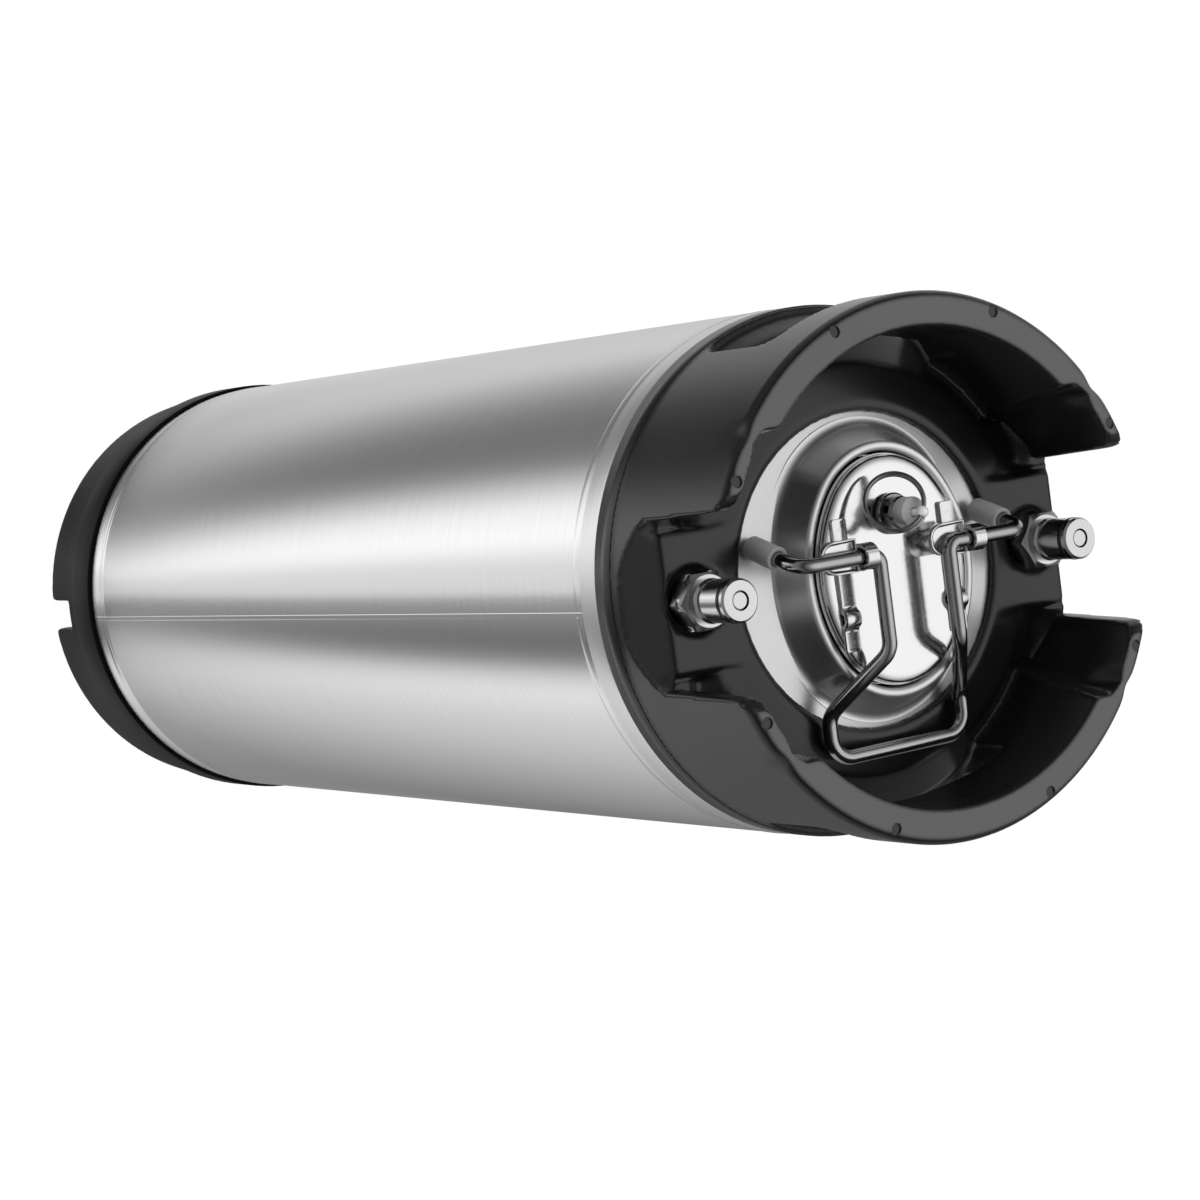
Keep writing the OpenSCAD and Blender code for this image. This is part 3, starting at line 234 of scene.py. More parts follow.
# Weld line and groove near an end: how far each point stands out, and how far from the end
WELD_LINES = [(-0.15, 0.5), (0.22, 1.1), (-0.2, 1.7), (0, 2.1), (0, 4.6), (-0.1, 4.9), (0, 5.2)]
low = [(SHELL_R + out_by, WELD_LOW_Z + z) for out_by, z in WELD_LINES]
high = [(SHELL_R + out_by, WELD_HIGH_Z - z) for out_by, z in reversed(WELD_LINES)]
outline = [(SHELL_R - SHELL_T, WELD_LOW_Z), (SHELL_R, WELD_LOW_Z)] + low + high
outline += [(SHELL_R, WELD_HIGH_Z), (SHELL_R - SHELL_T, WELD_HIGH_Z)]
bm = bmesh.new()
verts = [bm.verts.new((r * MM, 0, z * MM)) for r, z in outline]
edges = [bm.edges.new(pair) for pair in zip(verts, verts[1:] + verts[:1])]
bmesh.ops.spin(bm, geom=verts + edges, cent=(0, 0, 0), axis=(0, 0, 1), angle=2 * math.pi,
               steps=256, use_merge=True)
bmesh.ops.recalc_face_normals(bm, faces=bm.faces)
bmesh.ops.bevel(bm, geom=[e for e in bm.edges if e.calc_face_angle(0) > 1], offset=0.05 * MM,
                segments=1, profile=0.5, affect="EDGES", material=-1)
shell = piece("rolled_shell", bm, "keg", "shell_body")

# Brushed stainless steel: fine marks run round the keg, so a highlight is drawn out along it.
# The marks are drawn 0.5 mm apart and 40 mm long, coarser than the real ones, so that they show.
MARK_L, MARK_W = 40.0, 0.5
# The lengthwise weld is rolled flat: a strip 2 mm wide that stands out of the sheet by about
# 0.1 mm, one degree past -X. The ramp is its height over 7 mm, with a wider step on one side.
SEAM_TURN, SEAM_HALF, SEAM_H = math.radians(1), 3.5, 0.14
SEAM_SHARES = [(0.0, 0.5), (0.33, 0.5), (0.39, 1.0), (0.62, 1.0), (0.655, 0.5)]
material, tree, out = new_material("brushed_stainless_steel")
where = add(tree, "TexCoord")
axes = add(tree, "SeparateXYZ", inputs={0: where.outputs["Object"]})
angle = add(tree, "Math", {"operation": "ARCTAN2"}, {0: axes.outputs["Y"], 1: axes.outputs["X"]})
around = add(tree, "Math", {"operation": "MULTIPLY"}, {0: angle.outputs[0], 1: SHELL_R * MM})
sheet = add(tree, "CombineXYZ", inputs={"X": around.outputs[0], "Y": axes.outputs["Z"]})
marks = add(tree, "Mapping", inputs={
    "Vector": sheet.outputs[0], "Scale": (1 / (MARK_L * MM), 1 / (MARK_W * MM), 1.0)})
grain = add(tree, "TexNoise", {"noise_dimensions": "2D"}, {
    "Vector": marks.outputs[0], "Scale": 1.0, "Detail": 3.0, "Roughness": 0.6})
shade = add(tree, "ValToRGB", inputs={"Fac": grain.outputs["Fac"]})
stops(shade, [(0.25, "#dbdbdb"), (0.75, "#e4e4e4")])
rough = add(tree, "MapRange", inputs={"Value": grain.outputs["Fac"], "To Min": 0.21, "To Max": 0.27})
side = add(tree, "Math", {"operation": "SIGN"}, {0: around.outputs[0]})
aside = add(tree, "Math", {"operation": "ABSOLUTE"}, {0: around.outputs[0]})
aside = add(tree, "Math", {"operation": "SUBTRACT"}, {0: SHELL_R * MM * math.pi, 1: aside.outputs[0]})
offset = add(tree, "Math", {"operation": "MULTIPLY"}, {0: side.outputs[0], 1: aside.outputs[0]})
offset = add(tree, "Math", {"operation": "ADD"}, {0: offset.outputs[0], 1: SHELL_R * MM * SEAM_TURN})
offset = add(tree, "MapRange", inputs={
    "Value": offset.outputs[0], "From Min": -SEAM_HALF * MM, "From Max": SEAM_HALF * MM})
seam = add(tree, "ValToRGB", inputs={"Fac": offset.outputs[0]})
stops(seam, SEAM_SHARES)
bump = add(tree, "Bump", inputs={
    "Height": seam.outputs[0], "Strength": 1.0, "Distance": SEAM_H * MM})
tangent = add(tree, "Tangent", {"direction_type": "RADIAL", "axis": "Z"})
steel = add(tree, "BsdfPrincipled", inputs={
    "Base Color": shade.outputs[0], "Metallic": 1.0, "Roughness": rough.outputs[0],
    "Anisotropic": 0.85, "Anisotropic Rotation": 0.25,
    "Tangent": tangent.outputs[0], "Normal": bump.outputs[0]})
tree.links.new(steel.outputs[0], out.inputs["Surface"])
dress(shell, material)
wear("shell_body", material)
# Lower domed end: the same steel, welded on below the shell and mostly under the boot
wear("bottom_dome", material)


# Top dome: the upper domed end with its drawn oval neck and rolled crest, spun and drawn
# from stainless steel sheet, satin polished, and welded to the shell under the collar.
def round_axis(tree, across, along):
    """The distance from a lengthwise axis, from the two sockets across it, and the place along it."""
    flat = add(tree, "CombineXYZ", inputs={"X": across[0], "Y": across[1]})
    radius = add(tree, "VectorMath", {"operation": "LENGTH"}, {0: flat.outputs[0]})
    return add(tree, "CombineXYZ", inputs={"X": radius.outputs["Value"], "Y": along}).outputs[0]


# Satin polished stainless steel: rings of fine scratches give a broad, soft highlight.
# The scratches are drawn about 0.6 mm wide, coarser than the real ones, so that they show.
RING_SCRATCH = 1 / 1.8
material, tree, out = new_material("satin_stainless_steel")
where = add(tree, "TexCoord")
axes = add(tree, "SeparateXYZ", inputs={0: where.outputs["Object"]})
rings = round_axis(tree, (axes.outputs["X"], axes.outputs["Y"]), axes.outputs["Z"])
grain = add(tree, "TexNoise", {"noise_dimensions": "2D"}, {
    "Vector": rings, "Scale": 1 / (RING_SCRATCH * MM), "Detail": 2.0})
rough = add(tree, "MapRange", inputs={"Value": grain.outputs["Fac"], "To Min": 0.34, "To Max": 0.41})
tangent = add(tree, "Tangent", {"direction_type": "RADIAL", "axis": "Z"})
steel = add(tree, "BsdfPrincipled", inputs={
    "Base Color": srgb("#e1e1e1"), "Metallic": 1.0, "Roughness": rough.outputs[0],
    "Anisotropic": 0.5, "Anisotropic Rotation": 0.25, "Tangent": tangent.outputs[0]})
tree.links.new(steel.outputs[0], out.inputs["Surface"])
wear("top_dome", material)


# Collar: one moulding of black nitrile rubber, pressed and glued over the top of the
# vessel. It carries the wide rim over the two hand holes, the thin walls beside the posts,
# the pads round the posts and the dimples that the mould's pins leave in the rim.
def node_copy(node):
    """A bmesh with a CAD node's shape, its loose triangles merged."""
    bm = bmesh.new()
    bm.from_mesh(nodes[node].data)
    bmesh.ops.remove_doubles(bm, verts=bm.verts, dist=0.02 * MM)
    return bm


def bake(made):
    """Applies a piece's modifiers."""
    bpy.context.view_layer.update()
    depsgraph = bpy.context.evaluated_depsgraph_get()
    baked = bpy.data.meshes.new_from_object(made.evaluated_get(depsgraph))
    made.modifiers.clear()
    made.data = baked


def soften(made, voxel, rounds):
    """Melts a piece's forms into one skin, as a mould gives it, and rounds its edges."""
    remesh = made.modifiers.new("skin", "REMESH")
    remesh.mode = "VOXEL"
    remesh.voxel_size = voxel * MM
    remesh.use_smooth_shade = True
    smooth = made.modifiers.new("round", "SMOOTH")
    smooth.factor = 0.5
    smooth.iterations = rounds
    bake(made)


def cut_at(bm, z, keep_top):
    """Cuts a closed bmesh at a height in mm, keeps one part of it and closes the cut."""
    bmesh.ops.bisect_plane(bm, geom=bm.verts[:] + bm.edges[:] + bm.faces[:], plane_co=(0, 0, z * MM),
                           plane_no=(0, 0, 1), clear_inner=keep_top, clear_outer=not keep_top)
    bmesh.ops.bridge_loops(bm, edges=[e for e in bm.edges if e.is_boundary])


def step(x, low, high):
    """A smooth step from 0 at low to 1 at high."""
    t = min(max((x - low) / (high - low), 0), 1)
    return t * t * (3 - 2 * t)


def hump_at(x, middle, width):
    """A smooth hump of 1 at its middle, that fades out within about two widths."""
    return math.exp(-((x - middle) / width) ** 2)


COLLAR_R, THIN_R, WIDE_R, BAND_TOP_Z, RIM_Z = 107.3, 99.5, 93.3, 562.6, 635.0
HOLE_TOP_Z, HOLE_HALF_W, SKIN_VOXEL = 609.0, 50.5, 1.2
# What is laid flat: how near a point must be, the heights of the outer wall, and how far the
# flat top of the rim keeps from its inner and outer edge
FLAT_BY, WALL_Z, RIM_IN, RIM_OUT = 0.5, (566, 632), 1.5, 3
# The roof of a hand hole: how far it falls towards the inside, how much less at the hole's
# ends, the radius where the slope starts, and between which places along X and Z it fades
ROOF_FALL, ROOF_FALL_LOST, ROOF_OUT_R, ROOF_EASE_X = 20.0, 11.0, 105.5, (12, 50)
ROOF_END_X, ROOF_LOW_Z, ROOF_HIGH_Z = (HOLE_HALF_W + 1, HOLE_HALF_W + 9), (588, 606), (HOLE_TOP_Z + 2, 632)
# The wall is pinched at the end of the wide rim: at which azimuth and how wide in degrees, by
# how much inside and outside, and where it fades along Z, at the outer edge, and inwards
PINCH_AZ, PINCH_WIDTH, PINCH_IN, PINCH_OUT = 35.2, 2.4, 1.6, 1.4
PINCH_Z, PINCH_EDGE_Z, PINCH_START_R = (612, 632), (624, 634), 97
# The pads round the posts: half their width, their height, where their outer end starts to
# fall, how steeply it falls, and how far the rubber beside a pad falls per mm
PAD_HALF_W, PAD_Z, PAD_END_X, PAD_END_FALL, PAD_SIDE_FALL = 27, 587.8, 99, 2.85, 0.3
# The fuller rubber beside a pad: it comes in two steps along X, fades towards the wall, ends
# at a place along Y, and stays off the floor below, which rises slowly along X
FULL_FROM_X, FULL_TO_X, FULL_END_R, FULL_END_Y = (66, 76), (84, 93), (105, 107), 50
FLOOR_Z, FLOOR_RISE = 570.5, 0.1
# The dip beside a pad: its depth, its middle and width along Y, where it begins and ends
# along X, and the height and radius that bound it
DIP, DIP_Y, DIP_WIDTH, DIP_FROM_X, DIP_TO_X = 1.5, 30.5, 2.5, (80, 88), (96, 102)
DIP_LOW_Z, DIP_R = 575, 104


def moulded(co):
    """Where the mould has a point of the softened collar."""
    r = math.hypot(co.x, co.y) / MM
    x, y, z = abs(co.x) / MM, abs(co.y) / MM, co.z / MM
    turn = math.degrees(math.atan2(y, x))
    # Softening leaves the outer wall and the top of the rim wavy, so they are laid flat
    if abs(r - COLLAR_R) < FLAT_BY and WALL_Z[0] < z < WALL_Z[1]:
        r = COLLAR_R
    if z > RIM_Z - FLAT_BY and WIDE_R + RIM_IN < r < COLLAR_R - RIM_OUT:
        z = RIM_Z
    # The roof of each hand hole slopes down towards the inside, most at its middle
    if turn > 45:
        fall = (ROOF_FALL - ROOF_FALL_LOST * step(x, *ROOF_EASE_X)) * (1 - step(x, *ROOF_END_X))
        slope = min(max((ROOF_OUT_R - r) / (ROOF_OUT_R - WIDE_R), 0), 1)
        z -= fall * slope * step(z, *ROOF_LOW_Z) * (1 - step(z, *ROOF_HIGH_Z))
    # The wall is pinched where the wide rim ends, most of all at its top edge
    outward = step(r, THIN_R, COLLAR_R)
    pinch = hump_at(turn, PINCH_AZ, PINCH_WIDTH) * step(z, *PINCH_Z) * step(r, PINCH_START_R, THIN_R)
    r += pinch * (PINCH_IN * (1 - outward) - PINCH_OUT * outward * step(z, *PINCH_EDGE_Z))
    # The rubber is fuller between a pad and the wall, most at the pad's outer end
    if z > FLOOR_Z + FLOOR_RISE * (x - FULL_FROM_X[0]) and y < FULL_END_Y:
        pad_z = PAD_Z - PAD_END_FALL * max(x - PAD_END_X, 0) - PAD_SIDE_FALL * (y - PAD_HALF_W)
        share = 0.5 * step(x, *FULL_FROM_X) + 0.5 * step(x, *FULL_TO_X)
        share *= step(y, PAD_HALF_W - 1, PAD_HALF_W + 3) * (1 - step(r, *FULL_END_R))
        z += max(pad_z - z, 0) * share
    # A shallow dip lies along one side of each pad
    if z > DIP_LOW_Z and r < DIP_R and co.x * co.y > 0:
        z -= DIP * hump_at(y, DIP_Y, DIP_WIDTH) * step(x, *DIP_FROM_X) * (1 - step(x, *DIP_TO_X))
    grow = r * MM / math.hypot(co.x, co.y)
    return co.x * grow, co.y * grow, z * MM


collar = piece("collar_moulding", node_copy("top_collar"), "keg", "top_collar")
soften(collar, SKIN_VOXEL, 6)
thin = collar.modifiers.new("thin", "DECIMATE")
thin.ratio = 0.75
bake(collar)
bm = bmesh.new()
bm.from_mesh(collar.data)
for v in bm.verts:
    v.co = moulded(v.co)
# Below the step of the band the rubber thins to a feather edge, which keeps its exact shape
cut_at(bm, BAND_TOP_Z, keep_top=True)
bm.to_mesh(collar.data)
bm.free()
bm = node_copy("top_collar")
cut_at(bm, BAND_TOP_Z + 0.2, keep_top=False)
band = piece("collar_band", bm, "keg", "top_collar")

# Dimples of the mould's pins: by azimuth from +Y, on one circle in the middle of the rim
DIMPLE_AZS = (-64, -22.3, 22.3, 64, 116, 157.7, 202.3, 244)
DIMPLE_RING_R, DIMPLE_R, DIMPLE_FLARE, DIMPLE_DEPTH = 103, 2.2, 0.2, 0.8
dimples = bmesh.new()
for az in DIMPLE_AZS:
    at = Matrix.Rotation(math.radians(90 + az), 4, "Z")
    at = at @ Matrix.Translation((DIMPLE_RING_R * MM, 0, RIM_Z * MM))
    bmesh.ops.create_cone(dimples, cap_ends=True, segments=40, radius1=DIMPLE_R * MM,
                          radius2=(DIMPLE_R + DIMPLE_FLARE) * MM, depth=2 * DIMPLE_DEPTH * MM, matrix=at)
cutter_mesh = bpy.data.meshes.new("dimple_cutter")
dimples.to_mesh(cutter_mesh)
dimples.free()
cutter = bpy.data.objects.new("dimple_cutter", cutter_mesh)
scene.collection.objects.link(cutter)
cut = collar.modifiers.new("dimples", "BOOLEAN")
cut.object = cutter
cut.solver = "EXACT"
bake(collar)
bpy.data.objects.remove(cutter)

# Nitrile rubber as it comes from the mould: black and satin, so its edges catch a soft line
# of light. Its skin has a fine matt texture of about 0.3 mm, drawn at 0.7 mm, and the flat
# top of the rim is painted a lighter grey, a painted highlight where it faces the light.
SKIN_GRAIN, CLOUD = 1 / 1.4, 1000 / 14
material, tree, out = new_material("satin_black_rubber")
where = add(tree, "TexCoord")
axes = add(tree, "SeparateXYZ", inputs={0: where.outputs["Object"]})
grain = add(tree, "TexNoise", inputs={
    "Vector": where.outputs["Object"], "Scale": 1 / (SKIN_GRAIN * MM), "Detail": 2.0})
cloud = add(tree, "TexNoise", inputs={
    "Vector": where.outputs["Object"], "Scale": 1 / (CLOUD * MM), "Detail": 3.0})
# Painted highlight: the flat top of the rim is painted lighter grey than the black rubber
painted_rim_light = add(tree, "MapRange", inputs={
    "Value": axes.outputs["Z"], "From Min": (RIM_Z - 0.7) * MM, "From Max": (RIM_Z - 0.1) * MM})
shade = add(tree, "Mix", {"data_type": "RGBA"}, {
    "Factor": painted_rim_light.outputs[0], 6: srgb("#101010"), 7: srgb("#525252")})
rough = add(tree, "MapRange", inputs={
    "Value": cloud.outputs["Fac"], "From Min": 0.3, "From Max": 0.7, "To Min": 0.24, "To Max": 0.32})
bump = add(tree, "Bump", inputs={
    "Height": grain.outputs["Fac"], "Strength": 0.12, "Distance": 0.04 * MM})
rubber = add(tree, "BsdfPrincipled", inputs={
    "Base Color": shade.outputs[2], "Roughness": rough.outputs[0], "IOR": 1.52,
    "Normal": bump.outputs[0]})
tree.links.new(rubber.outputs[0], out.inputs["Surface"])
dress(collar, material)
dress(band, material)


# Boot: the foot, moulded in one from black nitrile rubber and glued over the bottom of the
# vessel. Its wall steps in below a broad band, and two notches drain the floor under it.
# The foot's radius at its lower edge, how much wider it gets per mm, and its flat heights
FOOT_R, FOOT_EDGE_Z, FOOT_FLARE, FOOT_Z, FOOT_FLAT_BY, CREASE_Z = 105.58, 1.5, 0.0929, (4, 37), 0.4, 39.4
boot = piece("boot_foot", node_copy("bottom_boot"), "keg", "bottom_boot")
soften(boot, SKIN_VOXEL, 7)
bm = bmesh.new()
bm.from_mesh(boot.data)
for v in bm.verts:
    r = math.hypot(v.co.x, v.co.y) / MM
    z = v.co.z / MM
    wall = FOOT_R + (z - FOOT_EDGE_Z) * FOOT_FLARE
    if FOOT_Z[0] < z < FOOT_Z[1] and abs(r - wall) < FOOT_FLAT_BY:
        grow = wall * MM / math.hypot(v.co.x, v.co.y)
        v.co = (v.co.x * grow, v.co.y * grow, v.co.z)
cut_at(bm, CREASE_Z, keep_top=False)
bm.to_mesh(boot.data)
bm.free()
bm = node_copy("bottom_boot")
cut_at(bm, CREASE_Z - 0.3, keep_top=True)
boot_band = piece("boot_band", bm, "keg", "bottom_boot")

# The same rubber, dulled by wet floors, so that it hardly mirrors anything
SCUFF_GRAIN, SCUFF_CLOUD = 1.0, 50.0
material, tree, out = new_material("dull_black_rubber")
where = add(tree, "TexCoord")
grain = add(tree, "TexNoise", inputs={
    "Vector": where.outputs["Object"], "Scale": 1 / (SCUFF_GRAIN * MM), "Detail": 2.0})
cloud = add(tree, "TexNoise", inputs={
    "Vector": where.outputs["Object"], "Scale": 1 / (SCUFF_CLOUD * MM), "Detail": 3.0})
shade = add(tree, "ValToRGB", inputs={"Fac": cloud.outputs["Fac"]})
stops(shade, [(0.3, "#080808"), (0.7, "#0c0c0c")])
rough = add(tree, "MapRange", inputs={
    "Value": cloud.outputs["Fac"], "From Min": 0.3, "From Max": 0.7, "To Min": 0.40, "To Max": 0.50})
bump = add(tree, "Bump", inputs={
    "Height": grain.outputs["Fac"], "Strength": 0.15, "Distance": 0.05 * MM})
rubber = add(tree, "BsdfPrincipled", inputs={
    "Base Color": shade.outputs[0], "Roughness": rough.outputs[0], "IOR": 1.45,
    "Specular IOR Level": 0.08, "Normal": bump.outputs[0]})
tree.links.new(rubber.outputs[0], out.inputs["Surface"])
dress(boot, material)
dress(boot_band, material)


# Lid: an oval plate pressed from stainless steel and polished. It hangs in the neck on its
# rubber ring, which the pressure and the bail pull up against the neck from inside. A fine
# bead is pressed round its wall, just under its shoulder.
def grain_steel(name, colour, low, high, size, metallic=1.0):
    """Steel whose polish varies between two roughnesses, in grains of a size in mm."""
    material, tree, out = new_material(name)
    where = add(tree, "TexCoord")
    grain = add(tree, "TexNoise", inputs={
        "Vector": where.outputs["Object"], "Scale": 1 / (size * MM), "Detail": 3.0})
    rough = add(tree, "MapRange", inputs={
        "Value": grain.outputs["Fac"], "From Min": 0.3, "From Max": 0.7, "To Min": low, "To Max": high})
    bump = add(tree, "Bump", inputs={
        "Height": grain.outputs["Fac"], "Strength": 0.25, "Distance": 0.01 * MM})
    steel = add(tree, "BsdfPrincipled", inputs={
        "Base Color": srgb(colour), "Metallic": metallic, "Roughness": rough.outputs[0],
        "Normal": bump.outputs[0]})
    tree.links.new(steel.outputs[0], out.inputs["Surface"])
    return material


# Polished stainless steel: close to a mirror, with the faint unevenness of a buffing wheel
material = grain_steel("polished_stainless_steel", "#e1e1e1", 0.10, 0.17, 1.2)
wear("lid_plate", material)
# The lid's outline is four arcs, two flat ones at the sides and two tight ones at the ends
SIDE_CX, SIDE_R, END_CY = 19.005, 60.005, 14.25
BEAD_IN, BEAD_Z, BEAD_R = -4.75, 600.4, 0.42
side_turn = math.atan2(END_CY, SIDE_CX)
end_turn = math.pi - 2 * side_turn
bm = bmesh.new()
bmesh.ops.create_circle(bm, radius=BEAD_R * MM, segments=12,
                        matrix=Matrix.Rotation(math.pi / 2, 4, "X"))
bmesh.ops.translate(bm, verts=bm.verts, vec=((SIDE_R + BEAD_IN) * MM, 0, BEAD_Z * MM))
bmesh.ops.rotate(bm, verts=bm.verts, cent=(0, 0, 0), matrix=Matrix.Rotation(-side_turn, 3, "Z"))
bmesh.ops.translate(bm, verts=bm.verts, vec=(-SIDE_CX * MM, 0, 0))
section = bm.verts[:] + bm.edges[:]
for cx, cy, sweep in ((-SIDE_CX, 0, 2 * side_turn), (0, END_CY, end_turn),
                      (SIDE_CX, 0, 2 * side_turn), (0, -END_CY, end_turn)):
    section = bmesh.ops.spin(bm, geom=section, cent=(cx * MM, cy * MM, 0), axis=(0, 0, 1),
                             angle=sweep, steps=40)["geom_last"]
bmesh.ops.remove_doubles(bm, verts=bm.verts, dist=0.02 * MM)
bmesh.ops.recalc_face_normals(bm, faces=bm.faces)
dress(piece("lid_bead", bm, "lid"), material)


# Bail brackets: two strips of stainless steel, bent and spot welded to the lid. Each has a
# dished pan and a closed band, in which the bail's wire turns, and a hump to stiffen it.
def plate(outline, way):
    """A bmesh of a flat outline in mm, extruded some way."""
    bm = bmesh.new()
    base = bm.faces.new([bm.verts.new(Vector(p) * MM) for p in outline])
    made = bmesh.ops.extrude_face_region(bm, geom=[base])["geom"]
    moved = [g for g in made if isinstance(g, bmesh.types.BMVert)]
    bmesh.ops.translate(bm, verts=moved, vec=Vector(way) * MM)
    bmesh.ops.recalc_face_normals(bm, faces=bm.faces)
    return bm


def round_off(bm, edges, radius, segments):
    """Rounds some edges of a bmesh."""
    bmesh.ops.bevel(bm, geom=edges, offset=radius * MM, segments=segments, profile=0.5,
                    affect="EDGES", material=-1, clamp_overlap=True)


def sharp(bm, least):
    """The edges of a bmesh that turn by more than some degrees."""
    return [e for e in bm.edges if e.calc_face_angle(0) > math.radians(least)]


def arc(cy, cz, radius, degrees):
    """Points of an arc in the YZ plane."""
    return [(cy + radius * math.cos(math.radians(d)), cz + radius * math.sin(math.radians(d)))
            for d in degrees]


def spun(profile, cent, axis, steps):
    """A closed bmesh of a closed profile in mm, spun right round an axis."""
    bm = bmesh.new()
    rim = [bm.verts.new(Vector(p) * MM) for p in profile]
    edges = [bm.edges.new(pair) for pair in zip(rim, rim[1:] + rim[:1])]
    bmesh.ops.spin(bm, geom=rim + edges, cent=Vector(cent) * MM, axis=axis, angle=2 * math.pi,
                   steps=steps, use_merge=True)
    return bm


def gather(parts):
    """One bmesh of several closed parts."""
    whole = bmesh.new()
    for part in parts:
        mesh = bpy.data.meshes.new("part")
        part.to_mesh(mesh)
        part.free()
        whole.from_mesh(mesh)
        bpy.data.meshes.remove(mesh)
    return whole


BRACKET_X, HINGE_Y, HINGE_Z, LID_Z = 27.1, 8.0, 617.0, 605.0
STRIP_T, STRIP_HALF_W, STRIP_END_R, STRIP_EDGE_R = 1.7, 3.5, 1.1, 0.28
# Ends of the strip in front and behind, the riser's faces towards the hinge, and its top
STRIP_Y, TAB_Y, RISER_IN, RISER_OUT, RISER_Z = -29.0, 23.4, 3.75, 5.15, 613.4
HUMP_Y, HUMP_R, HUMP_RISE, HUMP_HOLLOW_R = -16.0, 4.2, 0.3, 2.3
PANEL_EDGE, PANEL_SLOPE, PANEL_DEPTH = 0.75, 0.3, 0.28
PAN_FAR_X, PAN_NEAR_X, PAN_HALF_W, PAN_Z, PAN_H, PAN_END_R = -15.6, 0.4, 6.6, 611.9, 3.9, 5.6
PAN_LIP, PAN_SLOPE, PAN_DEPTH, PAN_EDGE_R, PAN_FALL = 0.9, 0.6, 1.7, 0.3, 1.9
BAND_X, BAND_L, BAND_R, BEARING_R, BAND_EDGE = 0.3, 5.9, 5.4, 3.6, 0.3
RIPPLE, RIPPLE_TURN = 0.018, 18.75
WELD_YS, WELD_R, WELD_TOP_R, WELD_T, WELD_SUNK = (19.2, -4.4, -24.8), 1.0, 0.8, 0.7, 0.28
WELD_RIM, WELD_PIT_EDGE, WELD_PIT = 0.28, 0.15, 0.2
pan_y = HINGE_Y + 1
top_z = LID_Z + STRIP_T
front = [(HINGE_Y - RISER_IN, LID_Z), (HINGE_Y - RISER_IN, RISER_Z), (HINGE_Y - RISER_OUT, RISER_Z),
         (HINGE_Y - RISER_OUT, top_z), (HUMP_Y + 4.8, top_z)]
front += arc(HUMP_Y, LID_Z + HUMP_RISE, HUMP_R, range(27, 154, 9))
front += [(HUMP_Y - 4.8, top_z), (STRIP_Y, top_z), (STRIP_Y, LID_Z)]
front += arc(HUMP_Y, LID_Z, HUMP_HOLLOW_R, range(180, -1, -15))
back = [(HINGE_Y + RISER_IN, LID_Z), (TAB_Y, LID_Z), (TAB_Y, top_z), (HINGE_Y + RISER_OUT, top_z),
        (HINGE_Y + RISER_OUT, RISER_Z), (HINGE_Y + RISER_IN, RISER_Z)]
brackets = []
